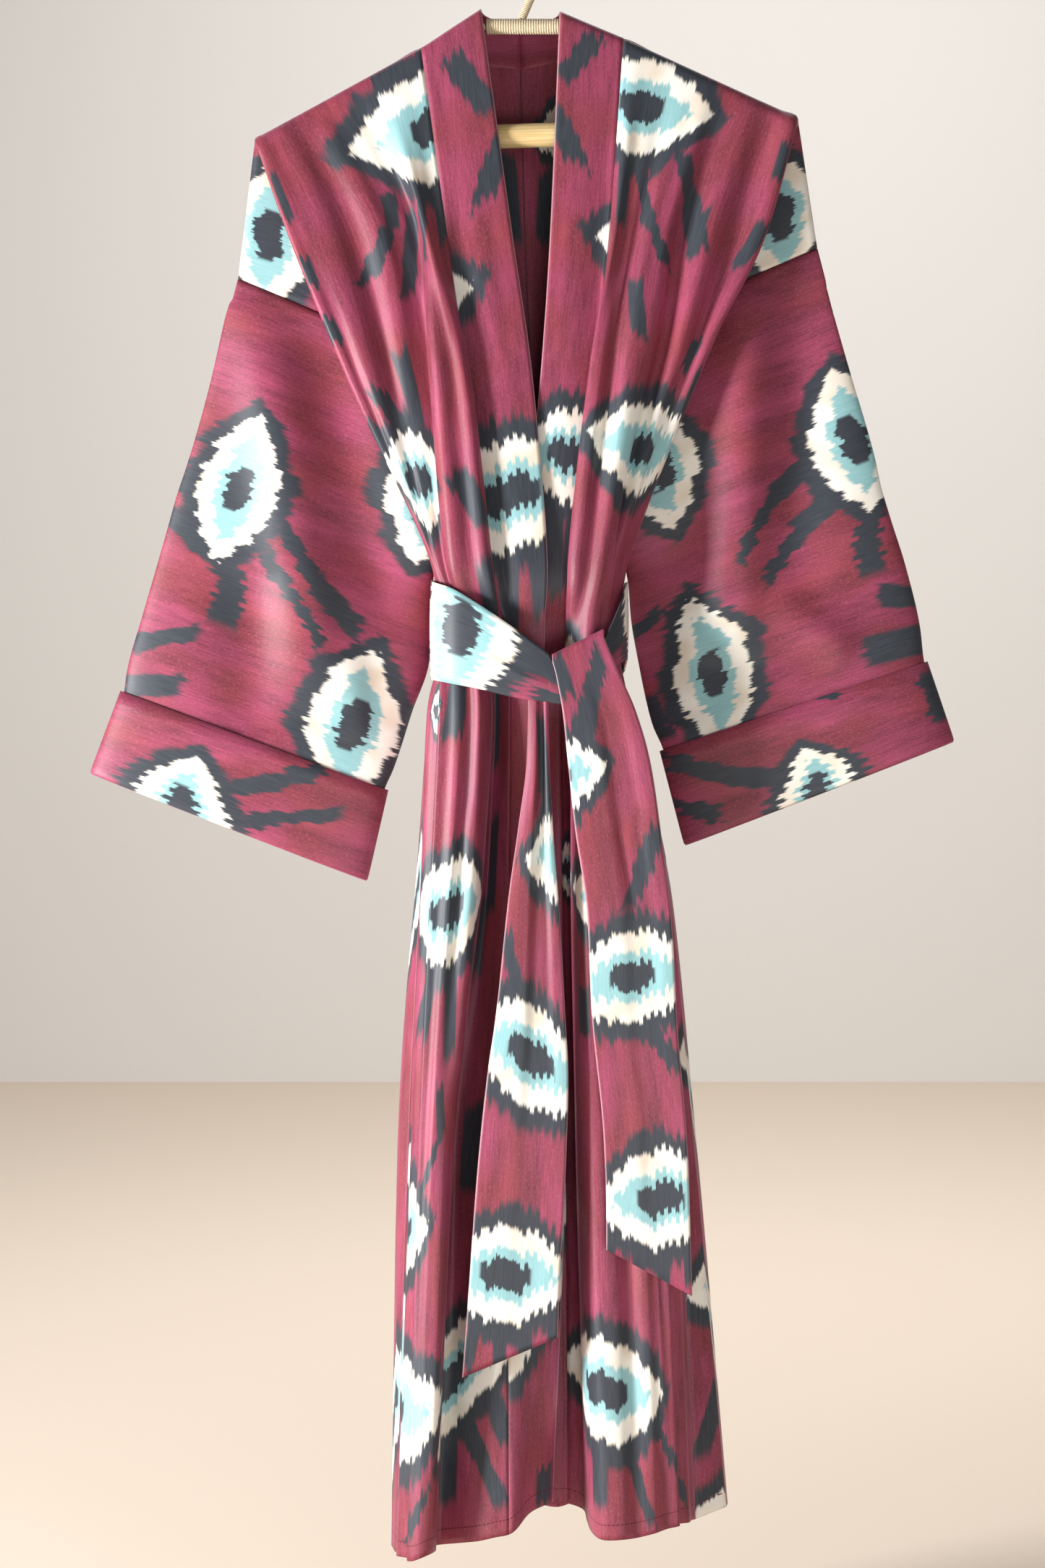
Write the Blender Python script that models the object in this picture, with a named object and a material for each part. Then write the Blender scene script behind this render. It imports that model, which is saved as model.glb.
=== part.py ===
"""A wrap caftan of ikat cloth with its tie belt, hanging on a plain rod hanger.

Lengths in the tables are millimetres. X runs to the viewer's right, -Y to the viewer, Z up,
and the origin is inside the top of the hanger's hook.
"""

import math
from collections import namedtuple

import bmesh
import bpy
import numpy as np

for leftover in list(bpy.data.objects):
    bpy.data.objects.remove(leftover)

MM = 0.001
WALL = 1.0
BELT_WALL = 1.6
SEAM_GAP = 0.3

# The shoulder line on each side: inner corner of the neckband, neck point, hanger tip, armhole top.
Shoulder = namedtuple("Shoulder", "corner neck tip armhole neck_to_tip")
SHOULDERS = {
    "left": Shoulder((-37, -61), (-86, -93), (-221, -167), (-235, -281), 154),
    "right": Shoulder((27, -63), (79, -85), (221, -150), (237, -256), 156),
}
BAND_WIDTH = 50
BAND_SEAM = 85
BAND_EDGE = BAND_SEAM - BAND_WIDTH

# Heights of the levels at which the fold tables give the cloth's place.
LEVELS = ("chest", "underarm", "above", "waist", "below", "hip", "knee")
HEIGHTS = {
    "left": (-250, -366, -520, -568, -634, -762, -990),
    "right": (-250, -343, -520, -568, -634, -762, -990),
}
HEM_HEIGHTS = {"left": -1314, "right": -1280}
WAIST_CENTRE = np.array([4, -12])
WAIST_PINCH = 0.93

# One row for each warp line that runs along a fold, from the free edge of the front to its side
# seam: how far across the flat cloth it lies, then (x, y) at each level and (x, y, z) at the hem.
Fold = namedtuple("Fold", "name flat chest underarm above below hip knee hem")
FRONT_LEFT = (
    Fold(
        "free edge", 35, (-11, -20), (5, -36), (17, -54),
        (14, -38), (22, -34), (31, -34), (21, -38, -1269),
    ),
    Fold(
        "band middle", 60, (-37, -21), (-20, -36), (-5, -55),
        (0, -36), (5, -30), (8, -36), (3, -52, -1274),
    ),
    Fold(
        "band seam", 85, (-64, -20), (-48, -33), (-28, -51),
        (-13, -30), (-14, -24), (-15, -34), (-14, -66, -1288),
    ),
    Fold(
        "tuck", 97, (-70, -22), (-45, -40), (-27, -58),
        (-18, -21), (-21, -20), (-26, -32), (-24, -66, -1290),
    ),
    Fold(
        "inner crest", 110, (-76, -27), (-50, -46), (-31, -63),
        (-21.5, -15), (-27, -14), (-37, -28), (-37, -62, -1294),
    ),
    Fold(
        "dip", 125, (-81, -27), (-59, -42), (-44, -58),
        (-25.5, -12.5), (-31, -10), (-48, -22), (-50, -56, -1297),
    ),
    Fold(
        "outer crest", 140, (-85, -22), (-71, -46), (-59, -60),
        (-28, -21), (-35, -16), (-59, -18), (-61, -48, -1300),
    ),
    Fold(
        "step", 152, (-88, -17), (-78, -38), (-63.5, -52),
        (-28, -32), (-35, -30), (-64, -26), (-71, -44, -1302),
    ),
    Fold(
        "recess", 163, (-95, -17), (-76, -29), (-63.5, -45.5),
        (-32, -45), (-36, -46), (-59, -44), (-75, -54, -1301),
    ),
    Fold(
        "panel", 190, (-116, -20), (-92, -31), (-68, -41),
        (-38, -55), (-43, -58), (-60, -62), (-72, -72, -1299),
    ),
    Fold(
        "hollow", 215, (-151, -18), (-112, -29), (-71, -37),
        (-45, -51), (-52, -55), (-69, -70), (-77, -84, -1299),
    ),
    Fold(
        "narrow crest", 232, (-177, -25), (-129, -35), (-74, -35),
        (-55, -55), (-61, -61), (-76, -70), (-85, -86, -1302),
    ),
    Fold(
        "narrow dip", 240, (-184, -20), (-135, -29), (-72, -30),
        (-62, -51), (-68, -56), (-80, -66), (-89, -84, -1304),
    ),
    Fold(
        "outer edge", 250, (-192, -22), (-144, -31), (-75.5, -25),
        (-70, -51), (-76, -55), (-86, -64), (-94, -80, -1305),
    ),
    Fold(
        "return", 280, (-175, -14), (-122, -20), (-66, -18),
        (-77, -40), (-83, -42), (-92, -48), (-103, -58, -1307),
    ),
    Fold(
        "pocket", 325, (-137, -10), (-31, -7), (-54, -7),
        (-73, -28), (-79, -26), (-89, -28), (-100, -34, -1311),
    ),
    Fold(
        "side seam", 340, (-130, -4), (-33, 0), (-51, 0),
        (-80, -20), (-85, -17), (-95, -18), (-106, -20, -1314),
    ),
)
FRONT_RIGHT = (
    Fold(
        "free edge", 35, (19, -20), (13, -31), (-3, -46),
        (-9, -26), (-7, -16), (-6, -6), (-3, 2, -1268),
    ),
    Fold(
        "band middle", 60, (43, -21), (34, -33), (18, -47),
        (10, -24), (13, -12), (14, -6), (16, -2, -1279),
    ),
    Fold(
        "band seam", 85, (67, -20), (57, -31), (42, -46),
        (28, -18), (29, -8), (32, -4), (34, -4, -1279),
    ),
    Fold(
        "near crest", 95, (71, -27), (53, -38), (33, -56),
        (35, -20), (35, -14), (40, -10), (46, -10, -1282),
    ),
    Fold(
        "near dip", 110, (77, -22), (61, -40), (40, -62),
        (36, -33), (36, -28), (40, -26), (49, -26, -1287),
    ),
    Fold(
        "hollow", 130, (87, -19), (70, -34), (49, -58),
        (40, -48), (39, -46), (43, -46), (53, -46, -1292),
    ),
    Fold(
        "broad crest", 150, (99, -26), (84, -43), (59, -62),
        (48, -55), (48, -58), (54, -60), (62, -64, -1293),
    ),
    Fold(
        "broad side", 165, (110, -24), (96, -40), (67, -55),
        (58, -51), (60, -56), (68, -58), (77, -66, -1292),
    ),
    Fold(
        "valley", 182, (122, -18), (107, -29), (61, -47),
        (63, -54), (69, -50), (78, -52), (88, -60, -1292),
    ),
    Fold(
        "far crest", 205, (145, -23), (121, -35), (69, -43),
        (70, -50), (79, -56), (91, -58), (102, -62, -1288),
    ),
    Fold(
        "far dip", 225, (171, -18), (135, -29), (74, -37),
        (75, -43), (88, -50), (100, -52), (112, -56, -1286),
    ),
    Fold(
        "outer edge", 250, (193, -22), (147, -32), (79, -28),
        (79, -39), (95, -51), (109, -54), (122, -54, -1284),
    ),
    Fold(
        "return", 280, (172, -14), (127, -20), (71, -18),
        (83, -30), (101, -41), (118, -42), (130, -44, -1284),
    ),
    Fold(
        "pocket", 325, (125, -10), (38, -7), (61, -7),
        (80, -22), (100, -30), (118, -31), (132, -37, -1284),
    ),
    Fold(
        "side seam", 340, (118, -4), (40, 0), (58, 0),
        (84, -13), (106, -22), (123, -22), (136, -30, -1285),
    ),
)
# The back is given for one half, from the centre seam out: (distance from the centre line, y).
BACK_HALF = (
    Fold("centre seam", 0, (0, 20), (0, 22), (0, 33), (0, 30), (0, 44), (0, 50), (0, 56)),
    Fold("centre fold", 28, (26, 23), (18, 27), (12, 40), (12, 37), (15, 56), (19, 66), (22, 76)),
    Fold("first dip", 56, (52, 20), (35, 22), (22, 33), (22, 30), (29, 46), (37, 48), (42, 52)),
    Fold("neck fold", 85, (79, 23), (52, 27), (30, 39), (30, 36), (42, 55), (54, 66), (60, 78)),
    Fold("second dip", 115, (104, 19), (68, 22), (37, 32), (38, 29), (54, 44), (69, 47), (78, 52)),
    Fold("blade fold", 145, (128, 22), (84, 27), (44, 37), (46, 34), (66, 52), (83, 62), (93, 74)),
    Fold("third dip", 175, (150, 19), (101, 22), (50, 30), (54, 26), (76, 40), (96, 43), (107, 46)),
    Fold("side fold", 205, (168, 23), (118, 27), (56, 32), (62, 28), (84, 44), (106, 50), (118, 56)),
    Fold("side dip", 230, (184, 19), (133, 22), (60, 25), (69, 20), (92, 28), (114, 30), (127, 32)),
    Fold("outer edge", 250, (193, 22), (145, 27), (64, 24), (75, 15), (98, 22), (119, 24), (133, 26)),
    Fold("return", 282, (174, 15), (124, 18), (57, 17), (80, 4), (102, 6), (122, 6), (137, 4)),
    Fold("pocket", 325, (134, 10), (34, 7), (54, 7), (81, -6), (100, -8), (119, -10), (135, -10)),
)
BACK_CENTRE = (-1, 3, 4, 2, 13, 17, 27)
BACK_HALF_HEM = 137
BACK_NECK = (-5, 28, -102)
BAND_BACK_TOP = (-6, 36, -61)
NECK_GAP = 0.6
BAND_BEHIND = (0.94, 0.8, 0.55, 0.28, 0)

# One row down each sleeve: its inner edge, its outer edge on the silhouette, its half thickness.
Across = namedtuple("Across", "inner_x inner_y inner_z outer_x outer_z swell")
SLEEVES = {
    "left": (
        Across(-36.2, 0, -364.6, -235.2, -281.4, 4.6),
        Across(-45, 0, -425, -251, -342, 8),
        Across(-53, 1, -468, -262.5, -385, 10),
        Across(-63, 5, -498, -272, -418, 11),
        Across(-76, 11, -519, -279, -440, 11.5),
        Across(-77.5, 14, -538, -285, -458, 12),
        Across(-78, 14, -562, -291.5, -481, 12.5),
        Across(-80, 13, -592, -300, -511, 13),
        Across(-94, 9, -634, -312.5, -554, 15),
        Across(-109, 2, -681, -326, -603, 16),
        Across(-116, 0, -697, -328, -618.5, 15.5),
        Across(-127.5, 0, -748.5, -345.5, -662, 16),
    ),
    "right": (
        Across(42.5, 0, -342.2, 237.2, -256.4, 4.6),
        Across(53, 0, -405, 253.5, -319, 8),
        Across(62, 1, -448, 266, -364, 10),
        Across(71, 5, -483, 277, -401, 11),
        Across(80, 11, -510, 284.5, -429, 11.5),
        Across(84, 14, -530, 289, -450, 12),
        Across(86, 14, -556, 297, -477, 12.5),
        Across(92, 12, -592, 309, -515, 13),
        Across(103, 6, -643, 321, -566, 15),
        Across(112, 0, -665, 324, -592, 15.5),
        Across(125.2, 0, -718, 339, -637, 16),
    ),
}
CUFF_TOPS = {
    "left": Across(-113, 0, -698, -331, -617, 18.5),
    "right": Across(109, 0, -666, 327, -593, 18.5),
}
CUFF_ENDS = {
    "left": Across(-130, 0, -772, -356, -684, 19.5),
    "right": Across(129, 0, -743, 349, -658, 19.5),
}
# Places down the cuff and how far inside its outer face: it turns up inside at the bottom.
CUFF_ROWS = ((0, 0), (0.4, 0), (0.8, 0), (0.96, 0), (1, 0.9), (0.96, 1.8), (0.735, 1.8))
TUBE_SIDES = 20

# The belt round the waist, from its left end in front, by the left side, to its right end.
BeltPlace = namedtuple("BeltPlace", "x y top bottom")
BELT = (
    BeltPlace(29, -67.5, -598, -630),
    BeltPlace(21, -68, -595.5, -629),
    BeltPlace(17, -68, -589.5, -628),
    BeltPlace(6, -68, -581, -627),
    BeltPlace(-16, -66, -565, -623),
    BeltPlace(-40, -63, -549, -617),
    BeltPlace(-60, -57.5, -537, -613),
    BeltPlace(-73, -46, -532, -610),
    BeltPlace(-76, -35, -530, -609),
    BeltPlace(-76.4, -16, -528, -607),
    BeltPlace(-75, 2, -527, -606),
    BeltPlace(-71, 16.5, -527, -605),
    BeltPlace(-62, 27, -528, -605),
    BeltPlace(-54, 33.5, -529, -605),
    BeltPlace(-40, 38.5, -530, -606),
    BeltPlace(-18, 40.4, -531, -607),
    BeltPlace(6, 40.8, -532, -608),
    BeltPlace(34, 40, -531, -607),
    BeltPlace(50, 38, -530, -606),
    BeltPlace(63, 32, -530, -606),
    BeltPlace(75, 18, -530, -606),
    BeltPlace(79, 4, -530, -602),
    BeltPlace(80.2, -12, -530, -598),
    BeltPlace(81, -28, -531, -592),
    BeltPlace(78, -41, -540, -594),
    BeltPlace(68, -56, -565, -602),
    BeltPlace(60, -61.8, -579, -608),
    BeltPlace(46, -63.6, -582, -614),
    BeltPlace(24, -63.4, -594, -620),
)
BELT_BULGE = 0.8
BELT_ROWS = (0, 0.2, 0.5, 0.8, 1)

# The belt's ends hang in front. One row down each: left edge, right edge, and how far forward.
Tail = namedtuple("Tail", "left_x left_z right_x right_z y ripple")
TAIL_RIGHT = (
    Tail(23, -606, 72.5, -604, -71.5, 0),
    Tail(28.5, -636, 86, -634, -71.5, 1),
    Tail(33, -679, 98, -676, -71, 2),
    Tail(38.3, -728, 106.5, -733, -70.5, 2),
    Tail(48, -797, 115, -803, -70.5, 1.5),
    Tail(51.5, -874, 119, -880, -71, 1),
    Tail(61, -973, 127.5, -985, -71, 1),
    Tail(63, -1030, 130, -1060, -71, 0.6),
    Tail(63, -1061.3, 131, -1098, -71, 0),
)
TAIL_FOLD = Tail(20.4, -590.7, 61.1, -570.6, -65.5, 0)
TAIL_FOLD_RADIUS = 6
TAIL_HIDDEN = 12
TAIL_LEFT = (
    Tail(1, -604, 18, -604, -66.7, 0),
    Tail(1.5, -630, 17, -630, -64, 1.8),
    Tail(0.5, -672, 18, -675, -65, 3),
    Tail(-6, -725, 21, -731, -66, 3),
    Tail(-14, -781, 25.5, -789, -67, 2.5),
    Tail(-24, -874, 30.5, -874, -68, 2),
    Tail(-31.5, -927, 33, -927, -68.5, 1.5),
    Tail(-39, -1000, 31, -1000, -69, 1),
    Tail(-47, -1110, 26, -1095, -69, 0.5),
    Tail(-51, -1163, 25, -1131, -69, 0),
)
# Across a tail the cloth ripples: places across, and how much of the ripple's depth each has.
TAIL_ACROSS = ((0, 0), (0.2, 0.7), (0.38, 1), (0.55, -0.6), (0.72, -0.9), (0.88, 0.4), (1, 0))

# The hanger, as (x, z) in the plane of the garment: (start, end, radius).
ROD = ((-205, -170.8), (205, -157.2), 9.75)
ARMS = {"left": ((-35, -73.2), (-187, -155.4), 4.5), "right": ((34.5, -73.2), (190, -142.4), 4.5)}
CROSSBAR = ((-32.5, -75), (32.3, -75), 5)
HOOK_RADIUS = 2.5
HOOK_BEND = 18.5
HOOK_START = ((-3.6, -68.5), (3, -53), (10, -40), (17, -26))
HOOK_END = (-14.5, -27)

# Where the rows of each panel lie: drops below the shoulder line, then places between levels.
TOP_DROPS = (0, 2, 8, 26, 60)
LEVEL_STEPS = (1, 1.5, 2, 2.5, 3, 3.5, 4, 4.5, 5, 5.5, 6, 6.5, 7, 7.5, 8)
SHOULDER_ROUND = 8.5
TIP_ROUND = 13.5
TIP_REACH = 45
TIP_SPACING = 3
YOKE_NEAR = 2.5
YOKE_ACROSS = (0.3, 0.6)
YOKE_EDGE = (12, 4, 1.3)
YOKE_START = 3
YOKE_DEPTH = 0.6
SHOULDER_TURN = 0.9
# At the dropped shoulder the cloth lies in three layers: how much nearer the rod each one turns.
LAYER_DEPTHS = {"outer turn": 1.4, "return": 2.6, "pocket": 4.0, "side seam": 4.0}
TURN_FLAT = 5
TURN_IN = 1.5
TURN_DEPTH = 4.5


def hermite(knots, values, where):
    """Smooth curve through values at knots that never overshoots between two of them."""
    knots = np.asarray(knots, float)
    values = np.asarray(values, float)
    steps = np.diff(knots)
    slopes = np.diff(values, axis=0) / steps[:, None]
    tangents = np.empty_like(values)
    tangents[0] = slopes[0]
    tangents[-1] = slopes[-1]
    before, after = slopes[:-1], slopes[1:]
    same_way = before * after > 0
    total = np.where(same_way, before + after, 1)
    tangents[1:-1] = np.where(same_way, 2 * before * after / total, 0)
    span = np.clip(np.searchsorted(knots, where, side="right") - 1, 0, len(knots) - 2)
    t = ((np.asarray(where, float) - knots[span]) / steps[span])[:, None]
    width = steps[span][:, None]
    rise = values[span + 1] - values[span]
    start = tangents[span] * width
    finish = tangents[span + 1] * width
    return values[span] + t * (start + t * (3 * rise - 2 * start - finish + t * (start + finish - 2 * rise)))


def across(points, steps):
    """Soft curve through the points of one row, with a point at each share in steps[i] of span i."""
    gaps = np.maximum(np.linalg.norm(np.diff(points, axis=0), axis=1), 0.01)[:, None]
    slopes = np.diff(points, axis=0) / gaps
    tangents = np.empty_like(points)
    tangents[0] = slopes[0]
    tangents[-1] = slopes[-1]
    tangents[1:-1] = (slopes[:-1] * gaps[1:] + slopes[1:] * gaps[:-1]) / (gaps[:-1] + gaps[1:])
    found = []
    for i, shares in enumerate(steps):
        rise = points[i + 1] - points[i]
        start = tangents[i] * gaps[i]
        finish = tangents[i + 1] * gaps[i]
        for t in shares:
            bend = 3 * rise - 2 * start - finish + t * (start + finish - 2 * rise)
            found.append(points[i] + t * (start + t * bend))
    found.append(points[-1])
    return np.array(found)


def level_points(side, fold):
    """A fold's points at the levels, with the pinch of the belt worked out between two of them."""
    heights = HEIGHTS[side]
    middle = (np.array(fold.above) + np.array(fold.below)) / 2
    waist = WAIST_CENTRE + WAIST_PINCH * (middle - WAIST_CENTRE)
    flat = (fold.chest, fold.underarm, fold.above, waist, fold.below, fold.hip, fold.knee)
    points = [(x, y, z) for (x, y), z in zip(flat, heights)]
    points.append(fold.hem)
    return np.array(points, float)


def shoulder_start(side, flat):
    """Where the warp line at this distance across the flat cloth leaves the shoulder line."""
    line = SHOULDERS[side]
    corner, neck, tip, armhole = (np.array(p, float) for p in line[:4])
    if flat <= BAND_SEAM:
        return corner + (neck - corner) * (flat - BAND_EDGE) / BAND_WIDTH
    past = flat - BAND_SEAM - line.neck_to_tip
    if past <= 0:
        return neck + (tip - neck) * (flat - BAND_SEAM) / line.neck_to_tip
    down = (armhole - tip) / np.linalg.norm(armhole - tip)
    return tip + down * TIP_SPACING * min(past / 30, 2)


def line_down(start, points, face, rounding):
    """One warp line from the shoulder to the hem. It turns over the hanger on an arc, then hangs."""
    top = np.array([start[0], 0, start[1]])
    knots = np.arange(len(points) + 1)
    hung = np.vstack([top, points])
    hung[0, 1] = face * rounding
    rest = hermite(knots, hung, LEVEL_STEPS)
    length = np.linalg.norm(points[0] - hung[0])
    rows = []
    for drop in TOP_DROPS:
        place = hermite(knots, hung, [drop / length])[0]
        share = min(drop / rounding, 1)
        place[1] -= face * rounding * (1 - math.sqrt(1 - (1 - share) ** 2))
        rows.append(place)
    return np.vstack([rows, rest])


def rounding_at(side, start, layer):
    """Radius of the turn over the hanger: the slim arm, then the thicker rod end near the tip."""
    tip = np.array(SHOULDERS[side].tip, float)
    near = max(0, 1 - np.linalg.norm(start - tip) / TIP_REACH)
    return SHOULDER_ROUND + (TIP_ROUND - layer - SHOULDER_ROUND) * near * near * (3 - 2 * near)


def rounded_edge(folds, inward):
    """The folds with one more just past the outer edge, so that the cloth turns there on a round."""
    edge = [fold.name for fold in folds].index("outer edge")
    places = []
    for x, y, *height in folds[edge][2:]:
        places.append((x + inward * TURN_IN, y - math.copysign(TURN_DEPTH, y), *height))
    turn = Fold("outer turn", folds[edge].flat + TURN_FLAT, *places)
    return [*folds[: edge + 1], turn, *folds[edge + 1 :]]


def panel_lines(side, folds, face):
    """The warp lines of a panel in order: (rows, folds, xyz)."""
    lines = []
    for fold in folds:
        start = shoulder_start(side, fold.flat)
        rounding = rounding_at(side, start, LAYER_DEPTHS.get(fold.name, 0))
        lines.append(line_down(start, level_points(side, fold), face, rounding))
    return np.array(lines).transpose(1, 0, 2)


def widen(lines, folds, most=3):
    """A panel's points row by row, with more columns where the cloth between two folds is wide."""
    shares = ((0,), (0, 0.5), (0, 0.25, 0.75))
    gaps = [abs(b.flat - a.flat) for a, b in zip(folds, folds[1:])]
    steps = [shares[min((gap > 12.5) + (gap > 20), most - 1)] for gap in gaps]
    return np.array([across(row, steps) for row in lines]), steps


UNDERARM_ROW = len(TOP_DROPS) + LEVEL_STEPS.index(2)


def yoke(side, pocket):
    """The dropped shoulder beyond the tip, from the pocket line out to the shoulder seam."""
    line = SHOULDERS[side]
    tip = np.array(line.tip, float)
    armhole = np.array(line.armhole, float)
    rows = []
    full = np.linalg.norm(pocket[UNDERARM_ROW, ::2] - pocket[0, ::2])
    for i, row in enumerate(pocket[: UNDERARM_ROW + 1]):
        share = np.linalg.norm(row[::2] - pocket[0, ::2]) / full
        outer = tip + (armhole - tip) * (0.05 + 0.95 * share)
        width = np.linalg.norm(outer - row[::2])
        depth = YOKE_DEPTH * row[1]
        edges = [1 - distance / (width + 2 * distance) for distance in YOKE_EDGE]
        near = YOKE_NEAR / (width + 2 * YOKE_NEAR)
        columns = [row]
        for t in (near, *YOKE_ACROSS, *edges, 1):
            if i < YOKE_START:
                columns.append(row)
                continue
            x, z = row[::2] + (outer - row[::2]) * t
            rounding = 1 - min((1 - t) * width / abs(depth), 1)
            columns.append(np.array([x, depth * math.sqrt(1 - rounding**2), z]))
        rows.append(columns)
    return np.array(rows)


def pull_back(grid, edge, beyond=None):
    """Moves one edge into the cloth, by half the seam's gap and by what the turn at the seam needs.

    beyond is the next line of points past the seam. Without it the turn is taken as the shoulder's.
    """
    grid = grid.copy()
    view = {"first": grid, "last": grid[:, ::-1], "top": grid.swapaxes(0, 1)}[edge]
    inward = view[:, 1] - view[:, 0]
    inward /= np.linalg.norm(inward, axis=1)[:, None]
    turn = np.full(len(inward), SHOULDER_TURN)
    if beyond is not None:
        outward = beyond - view[:, 0]
        outward /= np.linalg.norm(outward, axis=1)[:, None]
        turn = np.arccos(np.clip(-(inward * outward).sum(axis=1), -0.5, 1))
    view[:, 0] += inward * (SEAM_GAP / 2 + 0.03 + WALL / 2 * np.tan(turn / 2))[:, None]
    return grid


def add_material(obj, colour, roughness, metallic=0):
    material = bpy.data.materials.new(obj.name)
    material.use_nodes = True
    shader = material.node_tree.nodes["Principled BSDF"]
    shader.inputs["Base Color"].default_value = (*colour, 1)
    shader.inputs["Roughness"].default_value = roughness
    shader.inputs["Metallic"].default_value = metallic
    obj.data.materials.append(material)


def add_object(name, bm, colour, roughness, metallic=0):
    mesh = bpy.data.meshes.new(name)
    bm.to_mesh(mesh)
    bm.free()
    mesh.shade_smooth()
    mesh.set_sharp_from_angle(angle=math.radians(50))
    obj = bpy.data.objects.new(name, mesh)
    bpy.context.scene.collection.objects.link(obj)
    add_material(obj, colour, roughness, metallic)
    return obj


def cloth(name, grids, colour, wall=WALL, around=False, flip=False):
    """A cloth wall on one or more grids of points that share edges; around joins last to first."""
    bm = bmesh.new()
    for grid in grids:
        rows, columns, _ = grid.shape
        corners = [[bm.verts.new(point * MM) for point in row] for row in grid]
        last = columns if around else columns - 1
        for i in range(rows - 1):
            for j in range(last):
                k = (j + 1) % columns
                face = [corners[i][j], corners[i][k], corners[i + 1][k], corners[i + 1][j]]
                bm.faces.new(face[::-1] if flip else face)
    bmesh.ops.remove_doubles(bm, verts=bm.verts, dist=0.02 * MM)
    obj = add_object(name, bm, colour, 0.6)
    solidify = obj.modifiers.new("Wall", "SOLIDIFY")
    solidify.thickness = wall * MM
    solidify.offset = 0
    return obj


RASPBERRY = (0.28, 0.035, 0.09)
WINE = (0.22, 0.03, 0.07)
SLATE = (0.05, 0.06, 0.07)
PALE_WOOD = (0.72, 0.58, 0.30)
TWINE = (0.48, 0.38, 0.22)


def add_front(side, folds, lines, beyond):
    """A front panel and its neckband, from one set of fold lines parted at the band seam."""
    names = [fold.name for fold in folds]
    pocket = names.index("pocket")
    whole, steps = widen(lines[:, : pocket + 1], folds[: pocket + 1])
    seam = sum(len(shares) for shares in steps[: names.index("band seam")])
    band = pull_back(whole[:, : seam + 1], "last", whole[:, seam + 1])
    body = pull_back(whole[:, seam:], "first", whole[:, seam - 1])
    side_strip = lines[UNDERARM_ROW:, pocket:]
    shoulder = yoke(side, lines[:, pocket])
    body[0] = pull_back(body, "top")[0]
    shoulder[0] = body[0, -1]
    shoulder[YOKE_START:] = pull_back(shoulder[YOKE_START:], "last")
    side_strip = pull_back(side_strip, "last", beyond[UNDERARM_ROW:])
    cloth(f"front_{side}", [body, shoulder, side_strip], RASPBERRY, flip=side == "right")
    cloth(f"neckband_{side}", [band, band_behind(side, band[0])], SLATE, flip=side == "right")


def band_behind(side, shoulder_row):
    """The neckband from the shoulder line round the back of the neck to its seam at the centre."""
    corner = np.array([SHOULDERS[side].corner[0], 0, SHOULDERS[side].corner[1]], float)
    top = np.array(BAND_BACK_TOP, float)
    shares = np.linspace(0, 1, len(shoulder_row))[:, None]
    rows = [shoulder_row]
    for t in BAND_BEHIND:
        edge = top + (corner - top) * t
        edge[1] = top[1] * math.sqrt(1 - t**3)
        seam = neckline(side, BAND_SEAM * t)
        seam += (math.copysign(1.2 * t, -corner[0]), 0, SEAM_GAP + WALL / 2)
        rows.append(edge + (seam - edge) * shares)
    rows[-1] = rows[-1] - (math.copysign(SEAM_GAP / 2 + 0.05, top[0] - corner[0]), 0, 0)
    return np.array(rows)[::-1]


def back_lines(front_sides):
    """The warp lines of the back, from the left side seam to the right one, and their folds."""
    halves = {}
    middle = sum(HEM_HEIGHTS.values()) / 2
    for side, sign in (("left", -1), ("right", 1)):
        half = []
        folds = rounded_edge(BACK_HALF, -1)
        for fold in folds:
            places = [(centre + sign * x, y) for centre, (x, y) in zip(BACK_CENTRE, fold[2:])]
            share = fold.hem[0] / BACK_HALF_HEM
            places[-1] = (*places[-1], middle + (HEM_HEIGHTS[side] - middle) * share)
            points = level_points(side, fold._replace(**dict(zip(Fold._fields[2:], places))))
            if fold.flat < BAND_SEAM:
                half.append(line_from_neck(neckline(side, fold.flat), points))
                continue
            start = shoulder_start(side, fold.flat)
            rounding = rounding_at(side, start, LAYER_DEPTHS.get(fold.name, 0))
            half.append(line_down(start, points, 1, rounding))
        halves[side] = [*half, front_sides[side]]
    folds = [*folds, Fold("side seam", 340, *[None] * 7)]
    lines = halves["left"][::-1] + halves["right"][1:]
    return np.array(lines).transpose(1, 0, 2), folds[::-1] + folds[1:]


def neckline(side, flat):
    """A point of the back neckline, a shallow curve from the neck point to the centre back."""
    x, z = SHOULDERS[side].neck
    t = flat / BAND_SEAM
    centre = np.array(BACK_NECK, float)
    end = np.array([x, 0, z], float)
    place = centre + (end - centre) * t
    place[1] = centre[1] * math.sqrt(1 - t**3)
    return place


def line_from_neck(top, points):
    knots = np.arange(len(points) + 1)
    hung = np.vstack([top, points])
    length = np.linalg.norm(points[0] - top)
    places = [drop / length for drop in TOP_DROPS] + list(LEVEL_STEPS)
    return hermite(knots, hung, places)


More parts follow.
